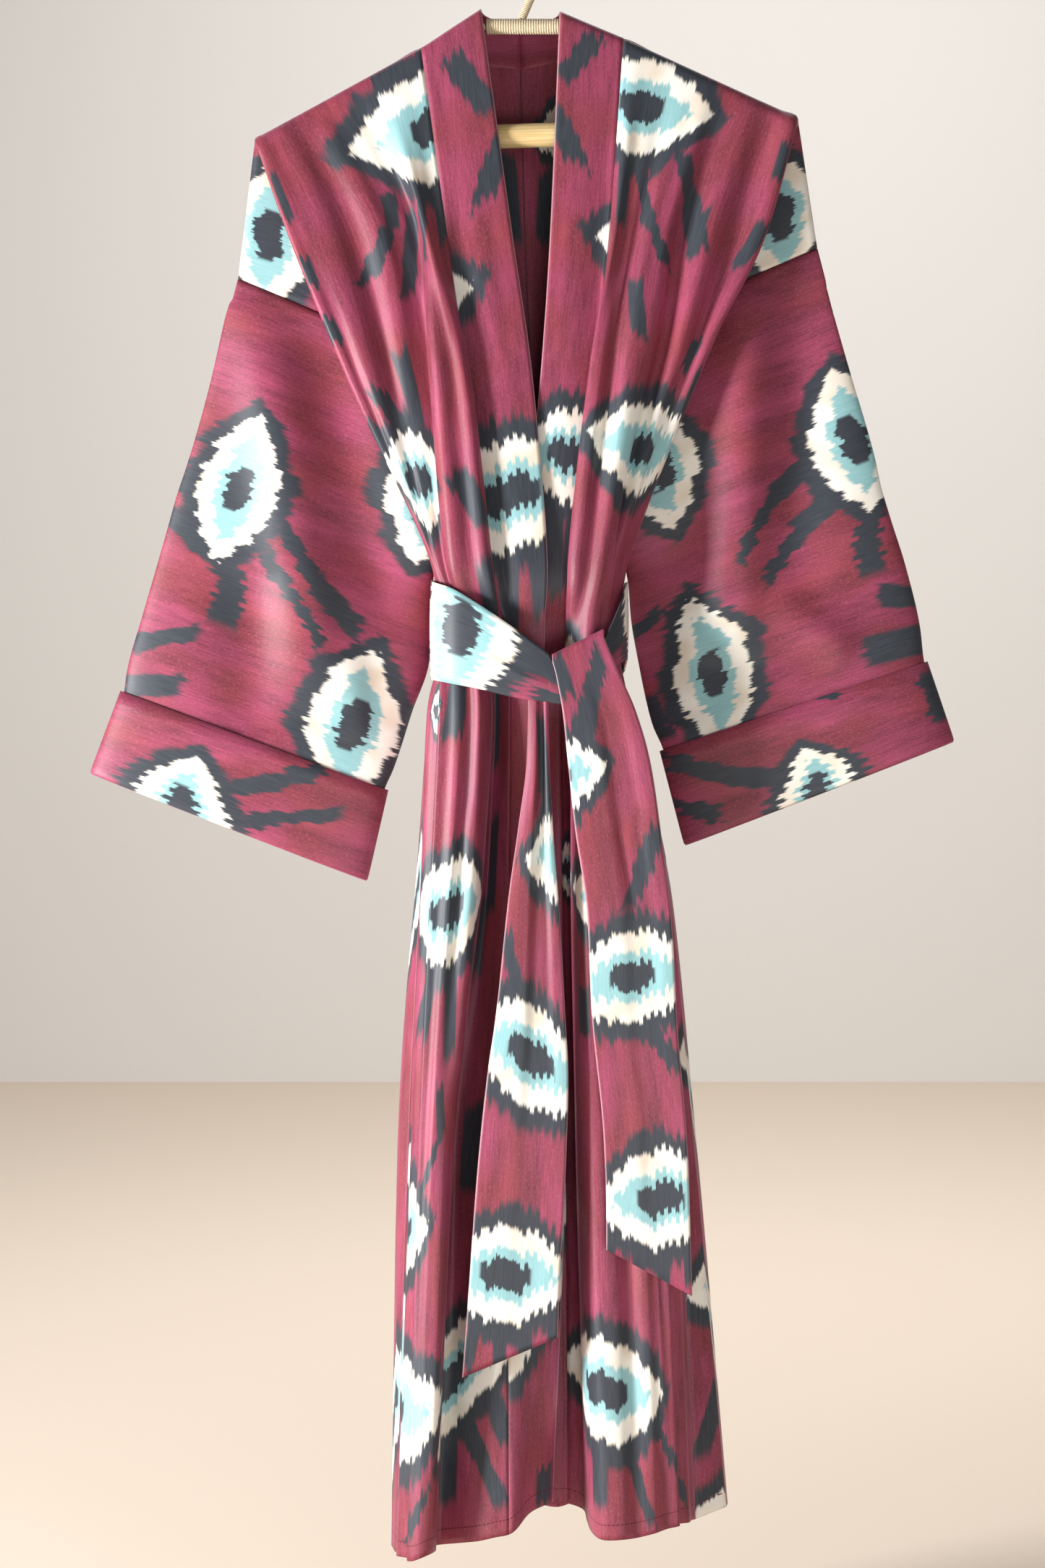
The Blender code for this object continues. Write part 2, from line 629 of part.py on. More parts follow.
def add_back(lines, folds, fronts):
    names = [fold.name for fold in folds]
    first = names.index("pocket")
    last = len(names) - 1 - names[::-1].index("pocket")
    body, _ = widen(lines[:, first : last + 1], folds[first : last + 1], most=2)
    body[0, :, 1] = np.maximum(body[0, :, 1], 0)
    neck = (body[0, :, 0] > SHOULDERS["left"].neck[0] - 1) & (body[0, :, 0] < SHOULDERS["right"].neck[0] + 1)
    body[0, neck, 2] -= NECK_GAP
    body[0] = pull_back(body, "top")[0]
    grids = [body]
    ends = (("left", first, lines[UNDERARM_ROW:, :2][:, ::-1]), ("right", last, lines[UNDERARM_ROW:, -2:]))
    for side, column, strip in ends:
        shoulder = yoke(side, lines[:, column])
        shoulder[0] = body[0, 0] if side == "left" else body[0, -1]
        shoulder[YOKE_START:] = pull_back(shoulder[YOKE_START:], "last")
        strip = pull_back(strip, "last", fronts[side][UNDERARM_ROW:, -2])
        if side == "left":
            shoulder = shoulder[:, ::-1]
            strip = strip[:, ::-1]
        grids += [shoulder, strip]
    cloth("back", grids, WINE)


def ring(place, inset=0):
    """A flat tube's section as a closed row of points: front from the inner edge out, then behind."""
    inner = np.array([place.inner_x, place.inner_y, place.inner_z], float)
    outer = np.array([place.outer_x, 0, place.outer_z], float)
    along = (outer - inner) / np.linalg.norm(outer - inner)
    inner += along * inset
    outer -= along * inset
    points = []
    for i in range(TUBE_SIDES):
        angle = 2 * math.pi * i / TUBE_SIDES
        share = (1 - math.cos(angle)) / 2
        point = inner + (outer - inner) * share
        point[1] = inner[1] * (1 - share) ** 2 - (place.swell - inset) * math.sin(angle)
        points.append(point)
    return points


def add_sleeve(side):
    rows = [ring(place) for place in SLEEVES[side]]
    cloth(f"sleeve_{side}", [np.array(rows)], RASPBERRY, around=True, flip=side == "right")


def add_cuff(side):
    top = np.array(CUFF_TOPS[side])
    end = np.array(CUFF_ENDS[side])
    rows = [ring(Across(*(top + (end - top) * share)), inset) for share, inset in CUFF_ROWS]
    cloth(f"cuff_{side}", [np.array(rows)], WINE, around=True, flip=side == "right")


def add_belt():
    """The belt as one band of doubled cloth round the waist."""
    stations = np.array(BELT, float)
    line = across(stations, [(0, 0.5)] * (len(stations) - 1))
    ahead = np.gradient(line[:, :2], axis=0)
    outward = np.stack([ahead[:, 1], -ahead[:, 0]], axis=1)
    outward /= np.linalg.norm(outward, axis=1)[:, None]
    rows = []
    for share in BELT_ROWS:
        bulge = BELT_BULGE * math.sin(math.pi * share)
        middle = line[:, :2] - outward * bulge
        height = line[:, 2] + (line[:, 3] - line[:, 2]) * share
        rows.append(np.column_stack([middle, height]))
    cloth("belt", [np.array(rows)], SLATE, wall=BELT_WALL)


def tail_row(place):
    """One row across a hanging end of the belt, rippled forward and back."""
    points = []
    for share, depth in TAIL_ACROSS:
        x = place.left_x + (place.right_x - place.left_x) * share
        z = place.left_z + (place.right_z - place.left_z) * share
        points.append((x, place.y - depth * place.ripple, z))
    return points


def add_tails():
    """The two ends: the left one hangs from behind the belt, the right one folds over its top."""
    cloth("belt_end_left", [np.array([tail_row(place) for place in TAIL_LEFT])], SLATE, wall=BELT_WALL)
    rows = []
    hidden = np.array(tail_row(TAIL_FOLD))
    hidden += (0, TAIL_FOLD_RADIUS, -TAIL_FOLD_RADIUS - TAIL_HIDDEN)
    rows.append(hidden)
    for degrees in range(0, 181, 30):
        angle = math.radians(degrees)
        turned = np.array(tail_row(TAIL_FOLD))
        turned += TAIL_FOLD_RADIUS * np.array([0, math.cos(angle), math.sin(angle) - 1])
        rows.append(turned)
    rows += [tail_row(place) for place in TAIL_RIGHT]
    cloth("belt_end_right", [np.array(rows)], SLATE, wall=BELT_WALL)


def add_bar(name, path, radius, sides, colour):
    """A round bar along a path in the plane of the garment, closed at both ends."""
    path = np.array([(x, 0, z) for x, z in path], float)
    ahead = np.gradient(path, axis=0)
    ahead /= np.linalg.norm(ahead, axis=1)[:, None]
    bm = bmesh.new()
    rings = []
    for point, forward in zip(path, ahead):
        side = np.array([forward[2], 0, -forward[0]])
        corners = []
        for i in range(sides):
            angle = 2 * math.pi * i / sides
            place = point + radius * (math.cos(angle) * side + math.sin(angle) * np.array([0, 1, 0]))
            corners.append(bm.verts.new(place * MM))
        rings.append(corners)
    for one, two in zip(rings, rings[1:]):
        for i in range(sides):
            j = (i + 1) % sides
            bm.faces.new([one[i], one[j], two[j], two[i]])
    bm.faces.new(rings[0][::-1])
    bm.faces.new(rings[-1])
    bmesh.ops.recalc_face_normals(bm, faces=bm.faces)
    add_object(name, bm, colour, 0.55)


def add_hanger():
    add_bar("hanger_rod", ROD[:2], ROD[2], 20, PALE_WOOD)
    for side, (start, end, radius) in ARMS.items():
        add_bar(f"hanger_arm_{side}", (start, end), radius, 14, PALE_WOOD)
    add_bar("hanger_crossbar", CROSSBAR[:2], CROSSBAR[2], 14, TWINE)
    path = list(HOOK_START)
    for degrees in range(0, 181, 20):
        angle = math.radians(degrees)
        height = HOOK_RADIUS - HOOK_BEND + HOOK_BEND * math.sin(angle)
        path.append((HOOK_BEND * math.cos(angle), height))
    path.append(HOOK_END)
    add_bar("hanger_hook", path, HOOK_RADIUS, 10, TWINE)


left_folds = rounded_edge(FRONT_LEFT, 1)
right_folds = rounded_edge(FRONT_RIGHT, -1)
fronts = {"left": panel_lines("left", left_folds, -1), "right": panel_lines("right", right_folds, -1)}
back, back_folds = back_lines({side: lines[:, -1] for side, lines in fronts.items()})
add_front("left", left_folds, fronts["left"], back[:, 1])
add_front("right", right_folds, fronts["right"], back[:, -2])
add_back(back, back_folds, fronts)
for side in SLEEVES:
    add_sleeve(side)
    add_cuff(side)
add_belt()
add_tails()
add_hanger()
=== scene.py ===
import math
from collections import namedtuple
from functools import reduce

import bmesh
import bpy
import numpy as np
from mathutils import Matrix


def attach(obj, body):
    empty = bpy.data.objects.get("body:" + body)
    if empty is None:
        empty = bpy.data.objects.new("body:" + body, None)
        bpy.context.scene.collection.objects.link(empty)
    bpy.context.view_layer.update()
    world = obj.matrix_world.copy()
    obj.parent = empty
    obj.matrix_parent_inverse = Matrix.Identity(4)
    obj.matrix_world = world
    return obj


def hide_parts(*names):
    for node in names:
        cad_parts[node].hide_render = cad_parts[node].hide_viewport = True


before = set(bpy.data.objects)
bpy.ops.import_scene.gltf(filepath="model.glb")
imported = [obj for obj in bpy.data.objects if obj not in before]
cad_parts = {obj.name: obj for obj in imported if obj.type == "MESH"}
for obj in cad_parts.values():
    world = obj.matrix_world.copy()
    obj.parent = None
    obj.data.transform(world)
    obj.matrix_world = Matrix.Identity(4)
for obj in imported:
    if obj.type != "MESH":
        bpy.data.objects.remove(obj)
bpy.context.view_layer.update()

# The camera looks straight at the robe's front from 2.3 m away, at about half its height, as in the
# photograph.
CAMERA_PLACE = (-0.0032, -2.31, -0.693)
bpy.ops.object.camera_add(location=CAMERA_PLACE, rotation=(math.pi / 2, 0, 0))
camera = bpy.context.object
camera.data.lens = 65
camera.data.sensor_width = 36
camera.data.clip_end = 30
bpy.context.scene.camera = camera

# A pale floor below the hem and a warm white wall some way behind, both plain, with soft studio
# light: the main lamp on the left, a weak one low in front, one behind for the edges, and a broad
# one for the wall. Each row is a lamp's place, what it is aimed at, its size and its power.
BACKDROP_SIZE = 12
FLOOR_LEVEL = -1.42
WALL_AWAY = 4.6
bpy.ops.mesh.primitive_plane_add(size=BACKDROP_SIZE, location=(0, 0, FLOOR_LEVEL))
floor = bpy.context.object
bpy.ops.mesh.primitive_plane_add(
    size=BACKDROP_SIZE, location=(0, WALL_AWAY, 0), rotation=(math.pi / 2, 0, 0)
)
wall = bpy.context.object
for backdrop, tint in ((floor, (0.88, 0.75, 0.62)), (wall, (0.80, 0.78, 0.75))):
    paint = bpy.data.materials.new("backdrop")
    paint.use_nodes = True
    shader = paint.node_tree.nodes["Principled BSDF"]
    shader.inputs["Base Color"].default_value = (*tint, 1)
    shader.inputs["Roughness"].default_value = 0.9
    backdrop.data.materials.append(paint)
ROBE_MIDDLE = (0, 0, -0.7)
LAMPS = (
    ((-2.2, -1.15, -0.6), ROBE_MIDDLE, 0.6, 108),
    ((0.4, -1.8, -1.3), ROBE_MIDDLE, 1.0, 15),
    ((0.0, 1.4, 1.2), ROBE_MIDDLE, 1.5, 20),
    ((0.6, 2.2, 1.5), (0.6, 4.3, -1.1), 3.0, 58),
)
for place, target, size, power in LAMPS:
    bpy.ops.object.light_add(type="AREA", location=place)
    lamp = bpy.context.object
    lamp.data.size = size
    lamp.data.energy = power
    aim = np.array(target) - place
    tilt = math.atan2(math.hypot(aim[0], aim[1]), -aim[2])
    lamp.rotation_euler = (tilt, 0, math.atan2(-aim[0], aim[1]))
world = bpy.data.worlds.new("studio")
bpy.context.scene.world = world
world.use_nodes = True
sky = world.node_tree.nodes["Background"]
sky.inputs["Color"].default_value = (1, 0.97, 0.94, 1)
sky.inputs["Strength"].default_value = 0.2
bpy.context.scene.view_settings.view_transform = "Standard"

# The hanger's rod and its two slanting arms: peeled bamboo, sanded and waxed, with faint fibres
# along it. Their turned shapes come from the CAD model.
MM = 0.001


class Wire:
    """A shader socket that takes plain arithmetic."""

    def __init__(self, tree, socket):
        self.tree = tree
        self.socket = socket

    def node(self, kind, settings, values, output=0):
        """One more node: its kind, its settings, then what goes into its sockets."""
        made = self.tree.nodes.new(kind)
        for name, value in settings.items():
            setattr(made, name, value)
        for name, value in values.items():
            if isinstance(value, Wire):
                self.tree.links.new(value.socket, made.inputs[name])
            else:
                made.inputs[name].default_value = value
        return Wire(self.tree, made.outputs[output])

    def output(self, number):
        return Wire(self.tree, self.socket.node.outputs[number])

    def millimetres(self, count):
        """The first numbers of this vector, in millimetres."""
        split = self.node("ShaderNodeSeparateXYZ", {}, {0: self})
        return [split.output(number) / MM for number in range(count)]

    def math(self, operation, *terms):
        """A sum on these terms alone."""
        return self.node("ShaderNodeMath", {"operation": operation}, dict(enumerate(terms)))

    def __add__(self, other):
        return self.math("ADD", self, other)

    def __radd__(self, other):
        return self.math("ADD", other, self)

    def __sub__(self, other):
        return self.math("SUBTRACT", self, other)

    def __rsub__(self, other):
        return self.math("SUBTRACT", other, self)

    def __mul__(self, other):
        return self.math("MULTIPLY", self, other)

    def __rmul__(self, other):
        return self.math("MULTIPLY", other, self)

    def __truediv__(self, number):
        return self * (1 / number)

    def __abs__(self):
        return self.math("ABSOLUTE", self)

    def lower(self, other):
        return self.math("MINIMUM", self, other)

    def upper(self, other):
        return self.math("MAXIMUM", self, other)

    def rise(self, low, high):
        """0 below low and 1 above high, with a soft step between."""
        values = {"Value": self, "From Min": low, "From Max": high}
        return self.node("ShaderNodeMapRange", {"interpolation_type": "SMOOTHSTEP"}, values)

    def vector(self, x, y, z=0):
        return self.node("ShaderNodeCombineXYZ", {}, {0: x, 1: y, 2: z})

    def noise(self, detail):
        """Soft noise at this vector."""
        return self.node("ShaderNodeTexNoise", {}, {"Vector": self, "Scale": 1, "Detail": detail})

    def chance(self):
        """A random number from 0 to 1 for each whole number."""
        return self.node("ShaderNodeTexWhiteNoise", {"noise_dimensions": "1D"}, {"W": self})

    def mix(self, first, second):
        """From the first colour to the second one as this goes from 0 to 1."""
        return self.node("ShaderNodeMix", {"data_type": "RGBA"}, {0: self, 6: first, 7: second}, 2)

    def feed(self, socket_name):
        shader = self.tree.nodes["Principled BSDF"]
        self.tree.links.new(self.socket, shader.inputs[socket_name])

    def bump(self, strength, distance):
        """This height in the shader's normal."""
        values = {"Strength": strength, "Distance": distance, "Height": self}
        self.node("ShaderNodeBump", {}, values).feed("Normal")


def new_material(title, **sockets):
    """A material with these values on its Principled shader."""
    material = bpy.data.materials.new(title)
    material.use_nodes = True
    shader = material.node_tree.nodes["Principled BSDF"]
    for name, value in sockets.items():
        socket_name = name.replace("_", " ").title().replace("Ior", "IOR")
        shader.inputs[socket_name].default_value = value
    return material


def colour(red, green, blue):
    """A colour for the shader from the usual numbers up to 255."""
    return (*[((c / 255 + 0.055) / 1.055) ** 2.4 for c in (red, green, blue)], 1)


def object_place(material):
    """The three coordinates of a point, in millimetres."""
    tree = material.node_tree
    return Wire(tree, tree.nodes.new("ShaderNodeTexCoord").outputs["Object"]).millimetres(3)


STRAW = colour(236, 214, 160)
HONEY = colour(206, 172, 112)
bamboo = new_material("bamboo", roughness=0.42)
x, y, z = object_place(bamboo)
fibre = x.vector(x * 0.012, y * 0.9, z * 0.9).noise(3)
patch = x.vector(x * 0.03, y * 0.05, z * 0.05).noise(1)
aged = fibre.rise(0.35, 0.7) * 0.6 + patch * 0.4
aged.mix(STRAW, HONEY).feed("Base Color")
fibre.bump(0.25, 0.0002)
for node in ("hanger_rod", "hanger_arm_left", "hanger_arm_right"):
    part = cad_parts[node]
    part.data.materials.clear()
    part.data.materials.append(bamboo)

# The crossbar and the hook: wire bound with twine, turn against turn. The bound cores come from
# the CAD model and the turns of twine are laid on them.
CROSSBAR_ENDS = ((-32.5, -75), (32.3, -75))
CROSSBAR_RADIUS = 5
HOOK_RADIUS = 2.5
HOOK_BEND = 18.5
HOOK_PATH = [(-3.6, -68.5), (3, -53), (10, -40), (17, -26)]
for degrees in range(0, 181, 20):
    turn = math.radians(degrees)
    rise = HOOK_RADIUS - HOOK_BEND + HOOK_BEND * math.sin(turn)
    HOOK_PATH.append((HOOK_BEND * math.cos(turn), rise))
HOOK_PATH.append((-14.5, -27))
TWINE_SLANT = 6
DARK_FLAX = colour(186, 166, 130)
PALE_FLAX = colour(236, 224, 198)
twine = new_material("twine", roughness=0.85)
x, y, z = object_place(twine)
strand = x.vector(x * 1.6 + z * 0.9, y * 1.2, z * 1.6).noise(3)
strand.rise(0.3, 0.7).mix(DARK_FLAX, PALE_FLAX).feed("Base Color")
strand.bump(0.5, 0.0004)


def wind_twine(name, node, path, radius, thick, spacing):
    """Turns of twine, side by side round a bar that follows a path."""
    length = sum(math.dist(one, two) for one, two in zip(path, path[1:]))
    bpy.ops.object.select_all(action="DESELECT")
    bpy.ops.mesh.primitive_torus_add(
        major_segments=12,
        minor_segments=5,
        major_radius=(radius + thick / 4) * MM,
        minor_radius=thick / 2 * MM,
        rotation=(0, math.pi / 2, 0),
    )
    turns = bpy.context.object
    turns.name = name
    bpy.ops.object.transform_apply(rotation=True)
    bpy.ops.object.mode_set(mode="EDIT")
    bpy.ops.mesh.select_all(action="SELECT")
    slant = math.radians(TWINE_SLANT)
    bpy.ops.transform.rotate(value=slant, orient_axis="Z", center_override=(0, 0, 0))
    bpy.ops.transform.translate(value=(spacing * 0.6 * MM, 0, 0))
    bpy.ops.object.mode_set(mode="OBJECT")
    array = turns.modifiers.new("turns", "ARRAY")
    array.count = int(length / spacing) - 1
    array.use_relative_offset = False
    array.use_constant_offset = True
    array.constant_offset_displace = (spacing * MM, 0, 0)
    bpy.ops.object.modifier_apply(modifier="turns")
    line = bpy.data.curves.new("way", "CURVE")
    line.dimensions = "3D"
    spline = line.splines.new("POLY")
    spline.points.add(len(path) - 1)
    for point, (px, pz) in zip(spline.points, path):
        point.co = (px * MM, 0, pz * MM, 1)
    way = bpy.data.objects.new("way", line)
    bpy.context.scene.collection.objects.link(way)
    bend = turns.modifiers.new("bend", "CURVE")
    bend.object = way
    bpy.ops.object.modifier_apply(modifier="bend")
    bpy.data.objects.remove(way)
    bpy.ops.object.shade_smooth()
    turns.data.materials.append(twine)
    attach(turns, "root")
    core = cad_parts[node]
    core.data.materials.clear()
    core.data.materials.append(twine)


wind_twine("crossbar_twine", "hanger_crossbar", CROSSBAR_ENDS, CROSSBAR_RADIUS, thick=2.2, spacing=2.05)
wind_twine("hook_twine", "hanger_hook", HOOK_PATH, HOOK_RADIUS, thick=1.5, spacing=1.4)

# The two front panels with their neckbands. Each panel is cut in one from shoulder to hem and hangs
# over the hanger, folded back on itself at the dropped shoulder; the band is sewn along its edge and
# goes on round the back of the neck. The cloth is ikat, dyed on the warp before weaving.
Shoulder = namedtuple("Shoulder", "corner neck tip armhole neck_to_tip")
SHOULDERS = {
    "left": Shoulder((-37, -61), (-86, -93), (-221, -167), (-235, -281), 154),
    "right": Shoulder((27, -63), (79, -85), (221, -150), (237, -256), 156),
}
BAND_SEAM = 85
BAND_EDGE = 35
HEIGHTS = {
    "left": (-250, -366, -520, -568, -634, -762, -990),
    "right": (-250, -343, -520, -568, -634, -762, -990),
}
WAIST_CENTRE = np.array([4, -12])
WAIST_PINCH = 0.93
# One row for each warp line along a fold: how far across the flat cloth it lies, then x and y at
# each level, and x, y and z at the hem, in millimetres.
Fold = namedtuple("Fold", "name flat chest underarm above below hip knee hem")
FRONTS = {
    "left": (
        ("free edge", 35, -11, -20, 5, -36, 17, -54, 14, -38, 22, -34, 31, -34, 21, -38, -1269),
        ("band middle", 60, -37, -21, -20, -36, -5, -55, 0, -36, 5, -30, 8, -36, 3, -52, -1274),
        ("band seam", 85, -64, -20, -48, -33, -28, -51, -13, -30, -14, -24, -15, -34, -14, -66, -1288),
        ("tuck", 97, -70, -22, -45, -40, -27, -58, -18, -21, -21, -20, -26, -32, -24, -66, -1290),
        ("inner crest", 110, -76, -27, -50, -46, -31, -63, -21.5, -15, -27, -14, -37, -28, -37, -62, -1294),
        ("dip", 125, -81, -27, -59, -42, -44, -58, -25.5, -12.5, -31, -10, -48, -22, -50, -56, -1297),
        ("outer crest", 140, -85, -22, -71, -46, -59, -60, -28, -21, -35, -16, -59, -18, -61, -48, -1300),
        ("step", 152, -88, -17, -78, -38, -63.5, -52, -28, -32, -35, -30, -64, -26, -71, -44, -1302),
        ("recess", 163, -95, -17, -76, -29, -63.5, -45.5, -32, -45, -36, -46, -59, -44, -75, -54, -1301),
        ("panel", 190, -116, -20, -92, -31, -68, -41, -38, -55, -43, -58, -60, -62, -72, -72, -1299),
        ("hollow", 215, -151, -18, -112, -29, -71, -37, -45, -51, -52, -55, -69, -70, -77, -84, -1299),
        ("narrow crest", 232, -177, -25, -129, -35, -74, -35, -55, -55, -61, -61, -76, -70, -85, -86, -1302),
        ("narrow dip", 240, -184, -20, -135, -29, -72, -30, -62, -51, -68, -56, -80, -66, -89, -84, -1304),
        ("outer edge", 250, -192, -22, -144, -31, -75.5, -25, -70, -51, -76, -55, -86, -64, -94, -80, -1305),
        ("return", 280, -175, -14, -122, -20, -66, -18, -77, -40, -83, -42, -92, -48, -103, -58, -1307),
        ("pocket", 325, -137, -10, -31, -7, -54, -7, -73, -28, -79, -26, -89, -28, -100, -34, -1311),
        ("side seam", 340, -130, -4, -33, 0, -51, 0, -80, -20, -85, -17, -95, -18, -106, -20, -1314),
    ),
    "right": (
        ("free edge", 35, 19, -20, 13, -31, -3, -46, -9, -26, -7, -16, -6, -6, -3, 2, -1268),
        ("band middle", 60, 43, -21, 34, -33, 18, -47, 10, -24, 13, -12, 14, -6, 16, -2, -1279),
        ("band seam", 85, 67, -20, 57, -31, 42, -46, 28, -18, 29, -8, 32, -4, 34, -4, -1279),
        ("near crest", 95, 71, -27, 53, -38, 33, -56, 35, -20, 35, -14, 40, -10, 46, -10, -1282),
        ("near dip", 110, 77, -22, 61, -40, 40, -62, 36, -33, 36, -28, 40, -26, 49, -26, -1287),
        ("hollow", 130, 87, -19, 70, -34, 49, -58, 40, -48, 39, -46, 43, -46, 53, -46, -1292),
        ("broad crest", 150, 99, -26, 84, -43, 59, -62, 48, -55, 48, -58, 54, -60, 62, -64, -1293),
        ("broad side", 165, 110, -24, 96, -40, 67, -55, 58, -51, 60, -56, 68, -58, 77, -66, -1292),
        ("valley", 182, 122, -18, 107, -29, 61, -47, 63, -54, 69, -50, 78, -52, 88, -60, -1292),
        ("far crest", 205, 145, -23, 121, -35, 69, -43, 70, -50, 79, -56, 91, -58, 102, -62, -1288),
        ("far dip", 225, 171, -18, 135, -29, 74, -37, 75, -43, 88, -50, 100, -52, 112, -56, -1286),
        ("outer edge", 250, 193, -22, 147, -32, 79, -28, 79, -39, 95, -51, 109, -54, 122, -54, -1284),
        ("return", 280, 172, -14, 127, -20, 71, -18, 83, -30, 101, -41, 118, -42, 130, -44, -1284),
        ("pocket", 325, 125, -10, 38, -7, 61, -7, 80, -22, 100, -30, 118, -31, 132, -37, -1284),
        ("side seam", 340, 118, -4, 40, 0, 58, 0, 84, -13, 106, -22, 123, -22, 136, -30, -1285),
    ),
}
TURN_FLAT = 5
TURN_IN = 1.5
TURN_DEPTH = 4.5
BACK_NECK = (-5, 28, -102)
BAND_BACK_TOP = (-6, 36, -61)
BAND_BACK_SHARES = (0.985, 0.94, 0.88, 0.8, 0.7, 0.6, 0.5, 0.4, 0.3, 0.2, 0.1, 0)
NECK_GAP = 0.6
TOP_DROPS = (0, 0.6, 1.4, 2.5, 4, 6, 8.5, 11.5, 15, 20, 26, 34, 46, 60)
LEVEL_ROWS = (13, 18, 9, 12, 15, 22, 24)
LEVEL_STEPS = [level + i / rows for level, rows in enumerate(LEVEL_ROWS, 1) for i in range(rows)]
LEVEL_STEPS += [7.97, 7.985, 8]
CHEST_SHARES = np.array([0.2, 0.4, 0.6, 0.8])
UNDERARM_ROW = len(TOP_DROPS) + len(CHEST_SHARES) + LEVEL_ROWS[0]
COLUMN_SPACING = 3.5
SHOULDER_ROUND = 8.5
TIP_ROUND = 13.5
TIP_REACH = 45
TIP_SPACING = 3
TIP_STEP = 30
YOKE_START = 4
YOKE_TIP = 0.05
YOKE_COLUMNS = 18
YOKE_DEPTH = 0.6
YOKE_FLAT = 539
YOKE_DOWN = 115
LAYER_DEPTHS = {"outer turn": 1.4, "return": 2.6, "pocket": 4.0, "side seam": 4.0}
WALL = 0.8


def ease(start, gain, leaving, arriving, t):
    """A smooth way from start over this gain, with the slopes at its two ends, at each share t."""
    curve = 3 * gain - 2 * leaving - arriving + t * (leaving + arriving - 2 * gain)
    return start + t * (leaving + t * curve)


def hermite(knots, values, where):
    """Smooth curve through values at knots that never overshoots between two of them."""
    knots = np.asarray(knots, float)
    values = np.asarray(values, float)
    steps = np.diff(knots)
    slopes = np.diff(values, axis=0) / steps[:, None]
    tangents = np.empty_like(values)
    tangents[0] = slopes[0]
    tangents[-1] = slopes[-1]
    before, after = slopes[:-1], slopes[1:]
    same_way = before * after > 0
    total = np.where(same_way, before + after, 1)
    tangents[1:-1] = np.where(same_way, 2 * before * after / total, 0)
    span = np.clip(np.searchsorted(knots, where, side="right") - 1, 0, len(knots) - 2)
    t = ((np.asarray(where, float) - knots[span]) / steps[span])[:, None]
    width = steps[span][:, None]
    gain = values[span + 1] - values[span]
    return ease(values[span], gain, tangents[span] * width, tangents[span + 1] * width, t)


def across(points, steps):
    """Soft curve through the points of one row, with a point at each share in steps[i] of span i."""
    gaps = np.maximum(np.linalg.norm(np.diff(points, axis=0), axis=1), 0.01)[:, None]
    slopes = np.diff(points, axis=0) / gaps
    tangents = np.empty_like(points)
    tangents[0] = slopes[0]
    tangents[-1] = slopes[-1]
    tangents[1:-1] = (slopes[:-1] * gaps[1:] + slopes[1:] * gaps[:-1]) / (gaps[:-1] + gaps[1:])
    found = []
    for i, shares in enumerate(steps):
        t = np.array(shares)[:, None]
        gain = points[i + 1] - points[i]
        found.append(ease(points[i], gain, tangents[i] * gaps[i], tangents[i + 1] * gaps[i], t))
    return np.vstack([*found, points[-1:]])


def level_points(side, fold):
    """A fold's points at the levels, with the pinch of the belt worked out between two of them."""
    middle = (np.array(fold.above) + np.array(fold.below)) / 2
    waist = WAIST_CENTRE + WAIST_PINCH * (middle - WAIST_CENTRE)
    flat = (fold.chest, fold.underarm, fold.above, waist, fold.below, fold.hip, fold.knee)
    points = [(x, y, z) for (x, y), z in zip(flat, HEIGHTS[side])]
    points.append(fold.hem)
    return np.array(points, float)


def shoulder_start(side, flat):
    """Where the warp line at this distance across the flat cloth leaves the shoulder line."""
    line = SHOULDERS[side]
    corner, neck, tip, armhole = (np.array(p, float) for p in line[:4])
    if flat <= BAND_SEAM:
        return corner + (neck - corner) * (flat - BAND_EDGE) / (BAND_SEAM - BAND_EDGE)
    past = flat - BAND_SEAM - line.neck_to_tip
    if past <= 0:
        return neck + (tip - neck) * (flat - BAND_SEAM) / line.neck_to_tip
    down = (armhole - tip) / np.linalg.norm(armhole - tip)
    return tip + down * TIP_SPACING * min(past / TIP_STEP, 2)


def hang(top, points, face, rounding):
    """One warp line from its top to the hem. It may turn over the hanger on an arc, then hangs."""
    knots = np.arange(len(points) + 1)
    hung = np.vstack([top, points])
    length = np.linalg.norm(points[0] - hung[0])
    drops = np.array([*TOP_DROPS, *(TOP_DROPS[-1] + (length - TOP_DROPS[-1]) * CHEST_SHARES)])
    rows = hermite(knots, hung, drops / length)
    if rounding:
        share = np.minimum(drops / rounding, 1)
        rows[:, 1] -= face * rounding * (1 - np.sqrt(1 - (1 - share) ** 2))
    return np.vstack([rows, hermite(knots, hung, LEVEL_STEPS)])


def hang_from_shoulder(side, fold, points, face):
    """A warp line that turns over the slim arm, or over the thicker rod end near the tip."""
    start = shoulder_start(side, fold.flat)
    near = max(0, 1 - np.linalg.norm(start - SHOULDERS[side].tip) / TIP_REACH)
    most = TIP_ROUND - LAYER_DEPTHS.get(fold.name, 0)
    rounding = SHOULDER_ROUND + (most - SHOULDER_ROUND) * near * near * (3 - 2 * near)
    return hang((start[0], face * rounding, start[1]), points, face, rounding)


def read_folds(rows, inward):
    """The rows as folds, with one more just past the outer edge, where the cloth turns on a round."""
    folds = []
    for name, flat, *numbers in rows:
        places = [numbers[i : i + 2] for i in range(0, 12, 2)] + [numbers[12:]]
        folds.append(Fold(name, flat, *places))
        if name == "outer edge":
            turned = []
            for x, y, *height in places:
                turned.append((x + inward * TURN_IN, y - math.copysign(TURN_DEPTH, y), *height))
            folds.append(Fold("outer turn", flat + TURN_FLAT, *turned))
    return folds


